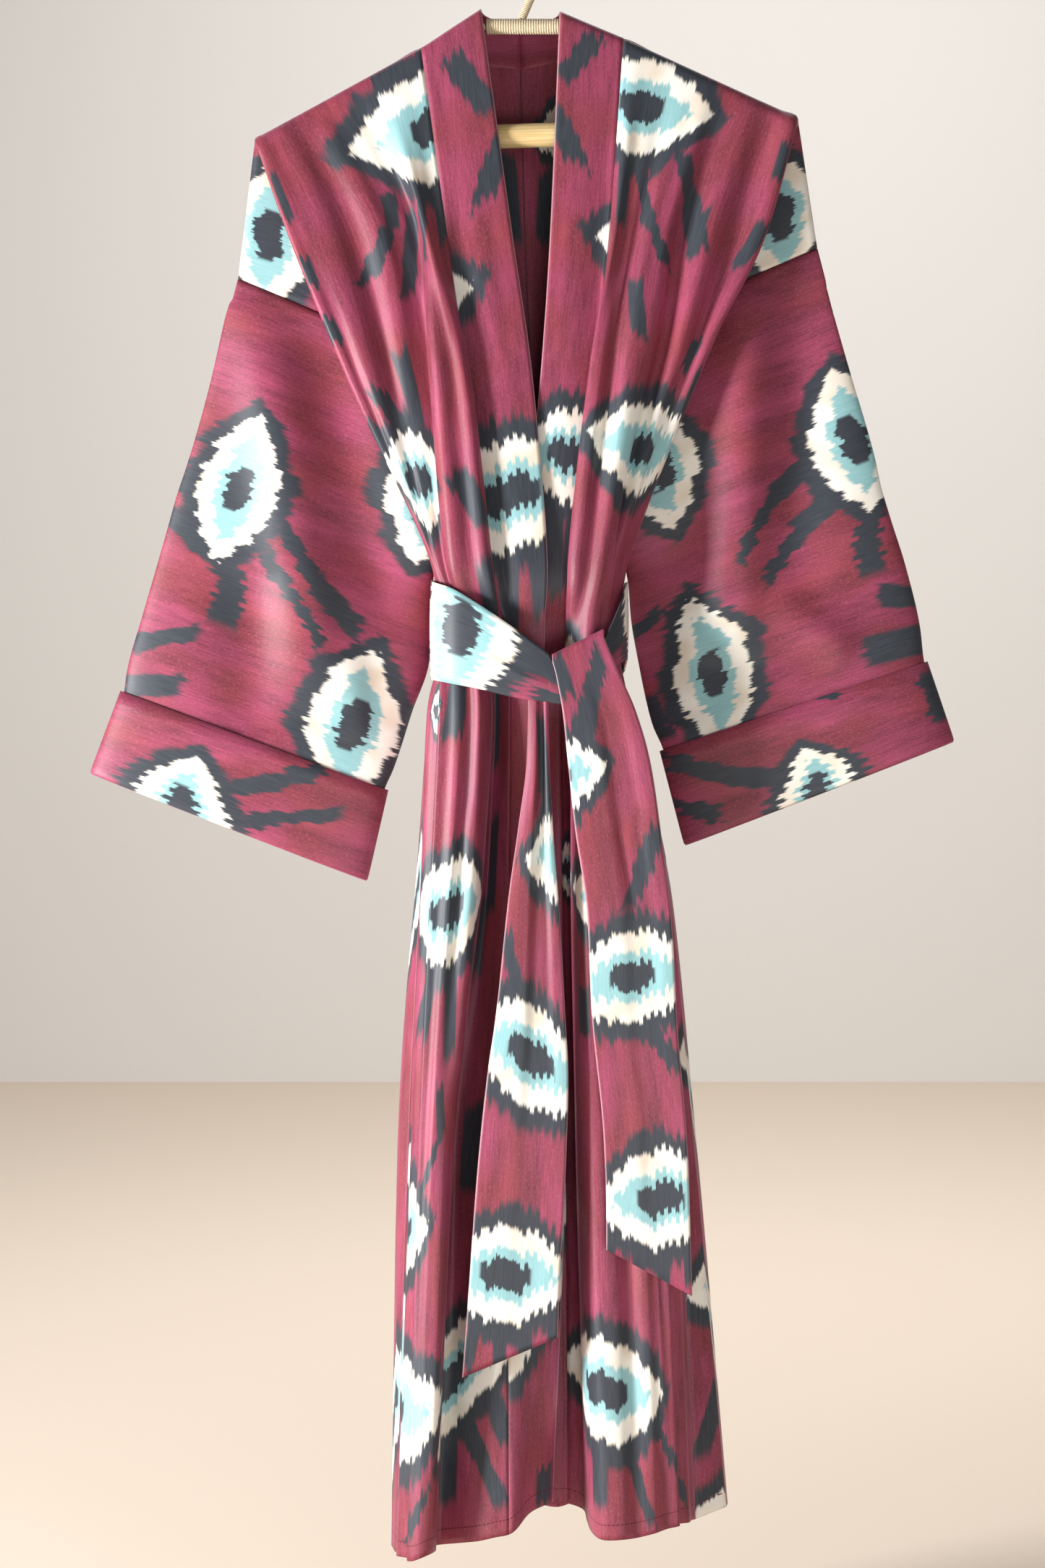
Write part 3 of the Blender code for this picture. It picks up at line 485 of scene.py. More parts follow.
def widen(lines, flats):
    """A panel's points row by row, with columns a few millimetres apart, and their flat places."""
    steps = []
    columns = []
    for one, two in zip(flats, flats[1:]):
        count = max(2, round(abs(two - one) / COLUMN_SPACING))
        steps.append([i / count for i in range(count)])
        columns += [one + (two - one) * share for share in steps[-1]]
    return np.array([across(row, steps) for row in lines]), np.array([*columns, flats[-1]], float)


def yoke(side, pocket):
    """The dropped shoulder beyond the tip, from the pocket line out to the shoulder seam.

    Its cloth hangs with the warp across, so its flat place is taken down and then in from the seam,
    well past the flat places of the panel.
    """
    tip = np.array(SHOULDERS[side].tip, float)
    armhole = np.array(SHOULDERS[side].armhole, float)
    reach = np.linalg.norm(pocket[:, ::2] - pocket[0, ::2], axis=1)
    shares = 1 - (1 - np.linspace(0.015, 1, YOKE_COLUMNS)) ** 2
    rows = []
    flats = []
    for i, row in enumerate(pocket[: UNDERARM_ROW + 1]):
        share = reach[i] / reach[UNDERARM_ROW]
        outer = tip + (armhole - tip) * (YOKE_TIP + (1 - YOKE_TIP) * share)
        width = np.linalg.norm(outer - row[::2])
        depth = YOKE_DEPTH * row[1]
        columns = [row]
        for t in shares:
            x, z = row[::2] + (outer - row[::2]) * t
            turn = 1 - min((1 - t) * width / max(abs(depth), 0.01), 1)
            place = np.array([x, depth * math.sqrt(1 - turn**2), z])
            columns.append(row if i < YOKE_START else place)
        rows.append(columns)
        flats.append([(YOKE_FLAT + share * YOKE_DOWN, (1 - t) * width) for t in (0, *shares)])
    return np.array(rows), np.array(flats)


def pull_back(grid, edge, beyond):
    """Moves one edge into the cloth, so that two walls that turn at a seam meet without crossing."""
    grid = grid.copy()
    view = {"first": grid, "last": grid[:, ::-1]}[edge]
    inward = view[:, 1] - view[:, 0]
    inward /= np.linalg.norm(inward, axis=1)[:, None]
    outward = beyond - view[:, 0]
    outward /= np.linalg.norm(outward, axis=1)[:, None]
    turn = np.arccos(np.clip(-(inward * outward).sum(axis=1), -0.5, 1))
    view[:, 0] += inward * (WALL / 2 * np.tan(turn / 2))[:, None]
    return grid


def neckline(side, flat):
    """A point of the back neckline, a shallow curve from the neck point to the centre back."""
    x, z = SHOULDERS[side].neck
    t = flat / BAND_SEAM
    centre = np.array(BACK_NECK, float)
    place = centre + (np.array([x, 0, z], float) - centre) * t
    place[1] = centre[1] * math.sqrt(max(0, 1 - t**3))
    return place


def band_behind(side, shoulder_row):
    """The neckband from the shoulder line round the back of the neck to its seam at the centre."""
    corner = np.array([SHOULDERS[side].corner[0], 0, SHOULDERS[side].corner[1]], float)
    top = np.array(BAND_BACK_TOP, float)
    shares = np.linspace(0, 1, len(shoulder_row))[:, None]
    rows = [shoulder_row]
    for t in BAND_BACK_SHARES:
        edge = top + (corner - top) * t
        edge[1] = top[1] * math.sqrt(1 - t**3)
        seam = neckline(side, BAND_SEAM * t)
        seam += (math.copysign(NECK_GAP * t, -corner[0]), -NECK_GAP, -1.5)
        rows.append(edge + (seam - edge) * shares)
    return np.array(rows)


def lay_flat(points, columns, start=0):
    """Each point's place on the flat cloth: across it, and down its own warp line."""
    steps = np.linalg.norm(np.diff(points, axis=0), axis=2)
    down = np.vstack([np.zeros(points.shape[1]), np.cumsum(steps, axis=0)]) + start
    return np.stack([np.broadcast_to(columns, down.shape), down], axis=2)


def crease(points, flats, creases, outward):
    """Soft ridges and troughs: from one flat place to another, how wide, how far out."""
    down = np.gradient(points, axis=0)
    aside = np.gradient(points, axis=1)
    normal = np.cross(down, aside)
    normal /= np.maximum(np.linalg.norm(normal, axis=2), 1e-9)[:, :, None]
    rise = np.zeros(points.shape[:2])
    for u0, v0, u1, v1, width, height in creases:
        run = np.array([u1 - u0, v1 - v0], float)
        away = flats - (u0, v0)
        along = np.clip((away @ run) / (run @ run), 0, 1)
        gap = np.linalg.norm(away - along[:, :, None] * run, axis=2)
        rise += height * np.exp(-((gap / width) ** 2)) * np.sqrt(4 * along * (1 - along))
    return points + normal * (outward * rise)[:, :, None]


def sew(name, grids, material, flip=False, wall=WALL):
    """A thin cloth shell from grids of (points, flat places) that share edges."""
    bm = bmesh.new()
    cloth_map = bm.loops.layers.uv.new("Cloth")
    edge_map = bm.loops.layers.uv.new("Edge")
    for points, flats in grids:
        rows, columns, _ = points.shape
        corners = [[bm.verts.new(point) for point in row] for row in points * MM]
        flats = flats * MM
        for i in range(rows - 1):
            for j in range(columns - 1):
                places = [(i, j), (i, j + 1), (i + 1, j + 1), (i + 1, j)]
                if flip:
                    places.reverse()
                face = bm.faces.new([corners[a][b] for a, b in places])
                face.smooth = True
                for loop, (a, b) in zip(face.loops, places):
                    loop[cloth_map].uv = flats[a, b]
                    loop[edge_map].uv = (flats[a, b, 0], flats[-1, b, 1] - flats[a, b, 1])
    bmesh.ops.remove_doubles(bm, verts=bm.verts, dist=0.02 * MM)
    mesh = bpy.data.meshes.new(name)
    bm.to_mesh(mesh)
    bm.free()
    piece = bpy.data.objects.new(name, mesh)
    bpy.context.scene.collection.objects.link(piece)
    mesh.materials.append(material)
    solidify = piece.modifiers.new("wall", "SOLIDIFY")
    solidify.thickness = wall * MM
    solidify.offset = 0
    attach(piece, "root")
    return piece


RASPBERRY = colour(182, 78, 114)
BRICK = colour(164, 70, 84)
WINE = colour(96, 38, 48)
SPECK = colour(214, 140, 168)
CHARCOAL = colour(38, 46, 52)
SLATE = colour(72, 76, 86)
IVORY = colour(250, 247, 238)
PEACH = colour(236, 222, 202)
AQUA = colour(168, 212, 216)
TEAL = colour(130, 184, 190)
STITCH = colour(92, 18, 40)
PALE_EDGE_LINE = colour(206, 160, 170)
SHEEN = colour(255, 196, 222)
BUNDLE_WIDTH = 3.5
BUNDLE_SLIP = 8
THREAD_WIDTH = 1.1
THREAD_SLIP = 2.6
DRIFT = 12
PUPIL_WIDTH = 0.55
PUPIL_HEIGHT = 3.2
HEM_STITCH = 12
STITCH_LENGTH = 3.4
SKIRT_FROM = 900
PALE_EDGE_LINE_IN = 0.4


def ikat(name, eyes, streaks, hem=0, seams=(), pale_edge_lines=()):
    """Warp-dyed cloth: eyes as (across, down, half width, half height, lean), dark streaks as
    (across, down, across, down, width), all in millimetres on the flat cloth, and where the hem's
    stitches, the seams and the pale pink lines along the free edges run.

    Bundles of threads slip along the warp before weaving, which gives every edge its steps.
    """
    material = new_material(
        name,
        roughness=0.5,
        specular_ior_level=0.36,
        sheen_weight=0.32,
        sheen_roughness=0.3,
        sheen_tint=SHEEN,
    )
    cloth = Wire(material.node_tree, None)
    u, v = cloth.node("ShaderNodeUVMap", {"uv_map": "Cloth"}, {}).millimetres(2)
    bundle = u.math("FLOOR", u / BUNDLE_WIDTH).chance()
    thread = u.math("FLOOR", u / THREAD_WIDTH).chance()
    drift = u.vector(u / 24, 0.5, v / 160).noise(1)
    middle = (BUNDLE_SLIP + THREAD_SLIP + DRIFT) / 2
    shifted = v + (bundle * BUNDLE_SLIP + thread * THREAD_SLIP + drift * DRIFT - middle)
    lenses = []
    pupils = []
    for across_at, down_at, wide, tall, lean in eyes:
        side = abs(u / wide - across_at / wide)
        height = abs((shifted - u * lean) / tall - (down_at - across_at * lean) / tall)
        lenses.append(height + side * side)
        beside = side * (wide / tall / PUPIL_WIDTH)
        upright = height * PUPIL_HEIGHT
        pupils.append(beside.upper(upright).upper((beside + upright) * 0.68))
    bars = []
    for u0, v0, u1, v1, width in streaks:
        if abs(v1 - v0) > abs(u1 - u0):
            along = shifted / (v1 - v0) - v0 / (v1 - v0)
            off = u - (along * (u1 - u0) + u0)
        else:
            along = u / (u1 - u0) - u0 / (u1 - u0)
            off = shifted - (along * (v1 - v0) + v0)
        bars.append((abs(off) * (2 / width)).upper(abs(along * 2 - 1)))
    lens, pupil, bar = (reduce(Wire.lower, marks) for marks in (lenses, pupils, bars))
    broad = u.vector(u / 20, v / 130).noise(2)
    fine = u.vector(u / 1.4, v / 22).noise(2)
    speck = u.vector(u / 0.7, v / 3).noise(1)
    lively = u.vector(u / 45, 3, v / 70).noise(1).rise(0.35, 0.65).mix(BRICK, RASPBERRY)
    ground = (broad * 0.7 + fine * 0.5 - 0.1).rise(0.1, 0.9).mix(WINE, lively)
    ground = (speck.rise(0.45, 0.85) * 0.22).mix(ground, SPECK)
    night = fine.mix(CHARCOAL, SLATE)
    halo = lens + u.vector(u / 26, v / 30).noise(1) * 0.5
    pale = u.vector(u / 30, 7, v / 30).noise(1).rise(0.4, 0.75).mix(IVORY, PEACH)
    tone = (1 - bar.rise(0.82, 1.18)).mix(ground, night)
    tone = (1 - halo.rise(1.58, 1.82)).mix(tone, night)
    tone = (1 - lens.rise(0.93, 1.05)).mix(tone, pale)
    tone = (1 - lens.rise(0.5, 0.62)).mix(tone, fine.mix(TEAL, AQUA))
    tone = (1 - pupil.rise(0.95, 1.12)).mix(tone, night)
    if hem:
        above = cloth.node("ShaderNodeUVMap", {"uv_map": "Edge"}, {}).millimetres(2)[1]
        gap = u.math("FRACT", u / STITCH_LENGTH).rise(0.6, 0.75)
        line = (1 - abs(above - hem).rise(0.3, 0.6)) * (1 - gap) * v.rise(SKIRT_FROM, SKIRT_FROM + 10)
        tone = line.mix(tone, STITCH)
    groove = fine * 0.6 + speck * 0.5
    for seam in seams:
        line = 1 - abs(u - seam).rise(0.3, 1.1)
        tone = (line * 0.6).mix(tone, CHARCOAL)
        groove = groove - line * 3
    # A pale pink line, half mixed in, along each of these free edges of the strip.
    for pale_edge_line in pale_edge_lines:
        line = 1 - abs(u - pale_edge_line).rise(0.3, 0.8)
        tone = (line * 0.5).mix(tone, PALE_EDGE_LINE)
    tone.feed("Base Color")
    (fine * 0.12 + 0.42).feed("Roughness")
    groove.bump(0.35, 0.00025)
    return material


EYES = {
    "left": (
        (82, 73, 100, 46, -0.19), (610, 22, 62, 38, 0), (205, 325, 50, 40, -0.5), (226, 673, 68, 42, -0.1),
        (262, 508, 14, 18, 0), (292, 922, 62, 36, 0), (140, 1086, 62, 40, 0.35), (300, 1066, 112, 44, 0),
    ),
    "right": (
        (108, 54, 68, 40, -0.28), (615, 28, 58, 38, 0), (196, 313, 92, 37, -0.2), (122, 530, 50, 34, 0),
        (185, 688, 60, 36, 0), (96, 690, 18, 22, 0), (152, 1080, 74, 41, -0.2),
    ),
}
STREAKS = {
    "left": (
        (168, 97, 178, 128, 17), (179, 120, 210, 158, 18), (150, 118, 180, 182, 19),
        (108, 110, 137, 163, 17), (86, 108, 92, 168, 18), (240, 40, 241, 84, 10), (243, 116, 244, 142, 10),
        (246, 168, 244, 192, 12), (232, 236, 206, 288, 14), (198, 222, 190, 290, 16),
        (248, 258, 240, 300, 12), (172, 305, 172, 332, 8), (131, 346, 104, 402, 20),
        (110, 425, 113, 500, 22), (228, 486, 236, 532, 22), (118, 520, 116, 600, 16),
        (112, 640, 114, 720, 20), (130, 700, 128, 764, 14), (246, 700, 274, 770, 14),
        (242, 704, 252, 776, 13), (218, 705, 209, 792, 20), (182, 710, 150, 768, 18),
        (222, 810, 214, 850, 14), (213, 846, 246, 894, 12), (118, 872, 122, 940, 22),
        (322, 1150, 334, 1190, 12), (222, 1128, 262, 1170, 18), (141, 1120, 143, 1182, 19),
        (126, 1124, 90, 1190, 17), (104, 1094, 84, 1144, 18),
    ),
    "right": (
        (113, 94, 148, 141, 20), (146, 135, 175, 166, 17), (160, 72, 187, 109, 20),
        (185, 102, 201, 143, 19), (98, 96, 103, 156, 18), (142, 186, 157, 234, 17),
        (234, 146, 242, 104, 12), (241, 34, 241, 66, 10), (197, 106, 198, 150, 12),
        (228, 208, 221, 238, 14), (248, 233, 248, 264, 12), (134, 336, 162, 376, 16),
        (142, 762, 142, 800, 16), (146, 1112, 144, 1176, 19), (166, 1106, 201, 1172, 17),
        (205, 1086, 242, 1124, 17), (238, 1118, 277, 1156, 17),
    ),
}
BAND_EYES = {
    "left": ((62, 394, 72, 44, -0.45), (148, 212, 78, 45, 0), (60, 1036, 75, 44, 0.7)),
    "right": ((70, 358, 50, 38, -0.4), (150, 174, 78, 44, 0), (80, 930, 60, 50, 0)),
}
BAND_STREAKS = {
    "left": (
        (64, 26, 40, 90, 18), (28, 110, 56, 158, 22), (67, 436, 77, 505, 20), (48, 424, 40, 505, 16),
        (46, 1184, 46, 1214, 16),
    ),
    "right": (
        (65, 12, 39, 62, 16), (30, 84, 56, 128, 22), (58, 392, 64, 476, 15), (74, 392, 75, 462, 13),
    ),
}
CREASES = {
    "left": (
        (239, 10, 244, 300, 6, 3), (227, 12, 233, 210, 6, -3), (214, 10, 222, 250, 7, 3.4),
        (201, 30, 213, 265, 7, -2.6), (186, 18, 198, 280, 9, 3), (150, 30, 158, 240, 9, -2.4),
        (124, 60, 120, 250, 8, 2.6), (206, 300, 196, 432, 7, 2.6), (182, 310, 178, 430, 7, -2.4),
        (136, 330, 130, 432, 6, 2), (208, 590, 186, 830, 13, 2.4), (206, 850, 214, 1150, 10, 3),
    ),
    "right": (
        (236, 14, 240, 280, 7, 3), (219, 16, 225, 220, 7, -3), (203, 12, 209, 260, 8, 3.4),
        (184, 36, 190, 280, 8, -2.6), (166, 16, 172, 250, 9, 3), (120, 60, 128, 260, 9, 2.4),
        (212, 290, 206, 420, 7, 2.4), (186, 300, 184, 424, 7, -2.4), (214, 590, 208, 800, 9, 2.6),
        (190, 600, 184, 780, 8, -2.6), (236, 640, 226, 900, 8, 2.4), (222, 860, 228, 1140, 10, 3),
        (262, 150, 258, 430, 7, 7),
    ),
}
front_folds = {}
front_lines = {}
for side, inward in (("left", 1), ("right", -1)):
    folds = read_folds(FRONTS[side], inward)
    lines = [hang_from_shoulder(side, fold, level_points(side, fold), -1) for fold in folds]
    front_folds[side] = folds
    front_lines[side] = np.array(lines).transpose(1, 0, 2)

# The back's warp lines are worked out here too, because the fronts meet them at the side seams.
BACK_HALF = (
    ("centre seam", 0, 0, 20, 0, 22, 0, 33, 0, 30, 0, 44, 0, 50, 0, 56),
    ("centre fold", 28, 26, 23, 18, 27, 12, 40, 12, 37, 15, 56, 19, 66, 22, 76),
    ("first dip", 56, 52, 20, 35, 22, 22, 33, 22, 30, 29, 46, 37, 48, 42, 52),
    ("neck fold", 85, 79, 23, 52, 27, 30, 39, 30, 36, 42, 55, 54, 66, 60, 78),
    ("second dip", 115, 104, 19, 68, 22, 37, 32, 38, 29, 54, 44, 69, 47, 78, 52),
    ("blade fold", 145, 128, 22, 84, 27, 44, 37, 46, 34, 66, 52, 83, 62, 93, 74),
    ("third dip", 175, 150, 19, 101, 22, 50, 30, 54, 26, 76, 40, 96, 43, 107, 46),
    ("side fold", 205, 168, 23, 118, 27, 56, 32, 62, 28, 84, 44, 106, 50, 118, 56),
    ("side dip", 230, 184, 19, 133, 22, 60, 25, 69, 20, 92, 28, 114, 30, 127, 32),
    ("outer edge", 250, 193, 22, 145, 27, 64, 24, 75, 15, 98, 22, 119, 24, 133, 26),
    ("return", 282, 174, 15, 124, 18, 57, 17, 80, 4, 102, 6, 122, 6, 137, 4),
    ("pocket", 325, 134, 10, 34, 7, 54, 7, 81, -6, 100, -8, 119, -10, 135, -10),
)
BACK_CENTRE = (-1, 3, 4, 2, 13, 17, 27)
BACK_HALF_HEM = 137
HEM_HEIGHTS = {"left": -1314, "right": -1280}
back_halves = {}
back_folds = read_folds(BACK_HALF, -1)
middle_hem = sum(HEM_HEIGHTS.values()) / 2
for side, sign in (("left", -1), ("right", 1)):
    half = []
    for fold in back_folds:
        places = [(centre + sign * x, y) for centre, (x, y) in zip(BACK_CENTRE, fold[2:])]
        share = fold.hem[0] / BACK_HALF_HEM
        places[-1] = (*places[-1], middle_hem + (HEM_HEIGHTS[side] - middle_hem) * share)
        points = level_points(side, fold._replace(**dict(zip(Fold._fields[2:], places))))
        if fold.flat < BAND_SEAM:
            half.append(hang(neckline(side, fold.flat), points, 1, 0))
        else:
            half.append(hang_from_shoulder(side, fold, points, 1))
    back_halves[side] = [*half, front_lines[side][:, -1]]
back_lines = np.array(back_halves["left"][::-1] + back_halves["right"][1:]).transpose(1, 0, 2)
half_flats = [fold.flat for fold in back_folds] + [front_folds["left"][-1].flat]
back_flats = [-flat for flat in half_flats[::-1]] + half_flats[1:]
beyond_side = {"left": back_lines[:, 1], "right": back_lines[:, -2]}

# The last two warp lines of each half are the pocket and the side seam. Above the underarm the
# dropped shoulder runs out from the pocket, and below it a strip runs from there to the side seam.
for side in ("left", "right"):
    flats = [fold.flat for fold in front_folds[side]]
    lines = front_lines[side]
    whole, columns = widen(lines[:, :-1], flats[:-1])
    seam = int(np.argmin(abs(columns - BAND_SEAM)))
    band = pull_back(whole[:, : seam + 1], "last", whole[:, seam + 1])
    body = pull_back(whole[:, seam:], "first", whole[:, seam - 1])
    shoulder, shoulder_flats = yoke(side, lines[:, -2])
    shoulder[0] = body[0, -1]
    strip, strip_columns = widen(lines[UNDERARM_ROW:, -2:], flats[-2:])
    strip = pull_back(strip, "last", beyond_side[side][UNDERARM_ROW:])
    body_flats = lay_flat(body, columns[seam:])
    outward = -1 if side == "left" else 1
    body = crease(body, body_flats, CREASES[side], outward)
    strip_flats = lay_flat(strip, strip_columns, body_flats[UNDERARM_ROW, -1, 1])
    grids = [(body, body_flats), (shoulder, shoulder_flats), (strip, strip_flats)]
    cloth = ikat(f"ikat_front_{side}", EYES[side], STREAKS[side], hem=HEM_STITCH)
    panel = sew(f"front_panel_{side}", grids, cloth, flip=side == "right")
    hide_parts(f"front_{side}")
    behind = band_behind(side, band[0])
    band_flats = lay_flat(band, columns[: seam + 1])
    behind_flats = lay_flat(behind, columns[: seam + 1])
    behind_flats[:, :, 1] *= -1
    pale_edge_line = (BAND_EDGE + PALE_EDGE_LINE_IN,)
    cloth = ikat(f"ikat_band_{side}", BAND_EYES[side], BAND_STREAKS[side], HEM_STITCH, pale_edge_lines=pale_edge_line)
    grids = [(band, band_flats), (behind[::-1], behind_flats[::-1])]
    piece = sew(f"neck_band_{side}", grids, cloth, flip=side == "right")
    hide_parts(f"neckband_{side}")

# The back panel: two lengths joined by a seam down the centre, seen inside the neck, and closed to
# the fronts along the sides. It hangs in soft pleats from the shoulders and is drawn in by the belt.
BACK_EYES = (
    (40, 60, 30, 24, 0), (-170, 150, 70, 42, 0), (140, 250, 70, 42, 0), (-60, 420, 72, 42, 0),
    (-250, 540, 70, 40, 0), (120, 560, 70, 42, 0), (250, 672, 60, 40, 0), (-310, 690, 70, 42, 0),
    (-100, 760, 74, 42, 0), (110, 930, 74, 42, 0), (290, 1052, 50, 38, 0), (-310, 1110, 60, 42, 0),
    (-110, 1090, 78, 42, 0), (320, 1250, 60, 34, 0), (285, 862, 50, 40, 0), (605, -24, 62, 38, 0),
)
BACK_STREAKS = (
    (-14, 70, -10, 144, 16), (20, 88, 15, 148, 12), (-200, 190, -214, 262, 14), (-168, 192, -160, 276, 14),
    (112, 290, 96, 360, 14), (142, 292, 150, 372, 14), (-86, 462, -104, 530, 14), (-56, 462, -52, 545, 14),
    (90, 600, 76, 668, 14), (124, 602, 134, 684, 14), (-128, 802, -146, 872, 14), (-98, 802, -90, 888, 14),
    (80, 972, 64, 1040, 14), (114, 974, 122, 1056, 14), (313, 1106, 337, 1182, 12),
    (-140, 1132, -158, 1196, 14), (-106, 1132, -98, 1210, 14),
)
BACK_CREASES = (
    (-222, 20, -205, 290, 9, 3.4), (-192, 30, -172, 270, 8, -3), (-150, 24, -122, 340, 10, 3),
    (-104, 60, -92, 300, 9, -2.6), (-40, 40, -34, 260, 9, 2.4), (52, 50, 40, 300, 9, 2.6),
    (98, 40, 80, 330, 10, -2.8), (158, 22, 132, 300, 9, 3.2), (196, 26, 180, 260, 8, -3),
    (226, 18, 214, 300, 9, 3.2), (-160, 600, -190, 860, 12, 3.4), (-60, 620, -72, 980, 13, 3),
    (20, 600, 34, 900, 12, -3), (92, 610, 120, 1000, 14, 3.4), (180, 600, 214, 940, 12, 3),
)
body, columns = widen(back_lines[:, 1:-1], back_flats[1:-1])
body[0, :, 1] = np.maximum(body[0, :, 1], 0)
body_flats = lay_flat(body, columns)
body = crease(body, body_flats, BACK_CREASES, 1)
grids = [(body, body_flats)]
for side, sign in (("left", -1), ("right", 1)):
    lines = back_lines[:, ::sign]
    shoulder, shoulder_flats = yoke(side, lines[:, -2])
    shoulder[0] = body[0, ::sign][-1]
    shoulder_flats[:, :, 1] *= -1
    strip, strip_columns = widen(lines[UNDERARM_ROW:, -2:], back_flats[-2:])
    strip = pull_back(strip, "last", front_lines[side][UNDERARM_ROW:, -2])
    strip_flats = lay_flat(strip, strip_columns * sign, body_flats[UNDERARM_ROW, 0, 1])
    for points, flats in ((shoulder, shoulder_flats), (strip, strip_flats)):
        grids.append((points[:, ::sign], flats[:, ::sign]))
cloth = ikat("ikat_back", BACK_EYES, BACK_STREAKS, hem=HEM_STITCH, seams=(0,))
panel = sew("back_panel", grids, cloth)
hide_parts("back")

# The sleeves: straight tubes set on the dropped shoulders, hanging flat, with their cuffs turned up
# at the ends. The warp goes round the arm, so the motifs stand on end.
# Each row is one section across a tube, as Across names its numbers.
Across = namedtuple("Across", "inner_x inner_y inner_z outer_x outer_z swell")
SLEEVES = {
    "left": (
        (-36.2, 0, -364.6, -235.2, -281.4, 4.6), (-45, 0, -425, -251, -342, 8),
        (-53, 1, -468, -262.5, -385, 10), (-63, 5, -498, -272, -418, 11),
        (-76, 11, -519, -279, -440, 11.5), (-77.5, 14, -538, -285, -458, 12),
        (-78, 14, -562, -291.5, -481, 12.5), (-80, 13, -592, -300, -511, 13),
        (-94, 9, -634, -312.5, -554, 15), (-109, 2, -681, -326, -603, 16),
        (-116, 0, -697, -328, -618.5, 15.5), (-127.5, 0, -748.5, -345.5, -662, 16),
    ),
    "right": (
        (42.5, 0, -342.2, 237.2, -256.4, 4.6), (53, 0, -405, 253.5, -319, 8), (62, 1, -448, 266, -364, 10),
        (71, 5, -483, 277, -401, 11), (80, 11, -510, 284.5, -429, 11.5), (84, 14, -530, 289, -450, 12),
        (86, 14, -556, 297, -477, 12.5), (92, 12, -592, 309, -515, 13), (103, 6, -643, 321, -566, 15),
        (112, 0, -665, 324, -592, 15.5), (125.2, 0, -718, 339, -637, 16),
    ),
}
CUFFS = {
    "left": ((-113, 0, -698, -331, -617, 18.5), (-130, 0, -772, -356, -684, 19.5)),
    "right": ((109, 0, -666, 327, -593, 18.5), (129, 0, -743, 349, -658, 19.5)),
}
# How far down the cuff each row lies, and how far in: the last rows turn up inside the mouth.
CUFF_ROWS = (
    (0, 0), (0.15, 0), (0.4, 0), (0.65, 0), (0.8, 0), (0.92, 0),
    (0.98, 0.2), (1, 0.9), (0.96, 1.8), (0.735, 1.8),
)
TUBE_SIDES = 96
SLEEVE_ROWS = 76
SLEEVE_EYES = {
    "left": (
        (159, 46, 63, 33, 0), (308, 190, 64, 38, 0), (110, 199, 54, 37, 0), (110, -120, 62, 38, 0),
        (290, -60, 62, 38, 0),
    ),
    "right": (
        (154, 12, 60, 36, 0), (293, 174, 66, 32, 0), (116, 173, 52, 33, 0), (130, -130, 62, 38, 0),
        (300, -70, 62, 38, 0),
    ),
}
SLEEVE_STREAKS = {
    "left": (
        (174, 88, 214, 135, 17), (210, 129, 234, 173, 24), (202, 82, 225, 114, 17),
        (222, 109, 258, 149, 13), (208, 54, 268, 68, 25), (196, -6, 214, 34, 20), (308, -2, 280, 50, 15),
        (343, -4, 324, 48, 18),
    ),
    "right": (
        (156, 48, 175, 93, 19), (172, 87, 215, 131, 14), (190, 40, 209, 80, 21), (206, 74, 236, 113, 16),
        (206, 12, 260, 30, 23), (278, 30, 290, -4, 20), (318, 50, 323, -6, 24), (228, 198, 240, 228, 12),
        (292, 234, 332, 224, 20),
    ),
}
SLEEVE_CREASES = {
    "left": (
        (8, 16, 305, 163, 27, 12), (10, 72, 230, 205, 25, -8), (215, 72, 345, 112, 26, -8),
        (250, 170, 320, 196, 14, 4),
    ),
    "right": (
        (5, 62, 290, 158, 25, 13), (20, 22, 285, 96, 24, -6), (250, 112, 318, 62, 15, 6),
        (230, 178, 312, 198, 14, 4),
    ),
}
CUFF_EYES = {"left": ((78, 80, 50, 42, 0),), "right": ((74, 120, 40, 31, 0),)}
CUFF_STREAKS = {
    "left": ((43, 112, 22, 151, 17), (23, 146, 2, 180, 16), (66, 132, 30, 204, 13)),
    "right": (
        (8, 228, 40, 176, 17), (37, 182, 53, 144, 20), (44, 232, 62, 200, 15), (-2, 100, 4, 78, 5),
        (8, 3, 54, 1, 22),
    ),
}


def run_length(points):
    """How far along a line each of its points lies."""
    return np.concatenate([[0], np.cumsum(np.linalg.norm(np.diff(points, axis=0), axis=1))])


def ring(place, inset):
    """A flat tube's section as a closed row of points: front from the inner edge out, then behind.

    Its flat places go round from the outer edge, in front above nought and behind below it.
    """
    inner = np.array([place.inner_x, place.inner_y, place.inner_z], float)
    outer = np.array([place.outer_x, 0, place.outer_z], float)
    width = np.linalg.norm(outer - inner)
    along = (outer - inner) / width
    inner += along * inset
    outer -= along * inset
    points = []
    rounds = []
    for i in range(TUBE_SIDES + 1):
        angle = 2 * math.pi * i / TUBE_SIDES
        share = (1 - math.cos(angle)) / 2
        point = inner + (outer - inner) * share
        point[1] = inner[1] * (1 - share) ** 2 - (place.swell - inset) * math.sin(angle)
        points.append(point)
        rounds.append((1 - share) * width * (1 if i <= TUBE_SIDES / 2 else -1))
    points[-1] = points[0]
    return points, rounds


def tube(places, insets, creases, outward):
    """A tube through rings, and its flat places: down it, then round it."""
    rings = [ring(place, inset) for place, inset in zip(places, insets)]
    points = np.array([points for points, _ in rings])
    steps = np.linalg.norm(np.diff(points, axis=0), axis=2).mean(axis=1)
    down = np.concatenate([[0], np.cumsum(steps)])
    flats = np.array([[(length, place) for place in rounds] for length, (_, rounds) in zip(down, rings)])
    return crease(points, flats, creases, outward), flats


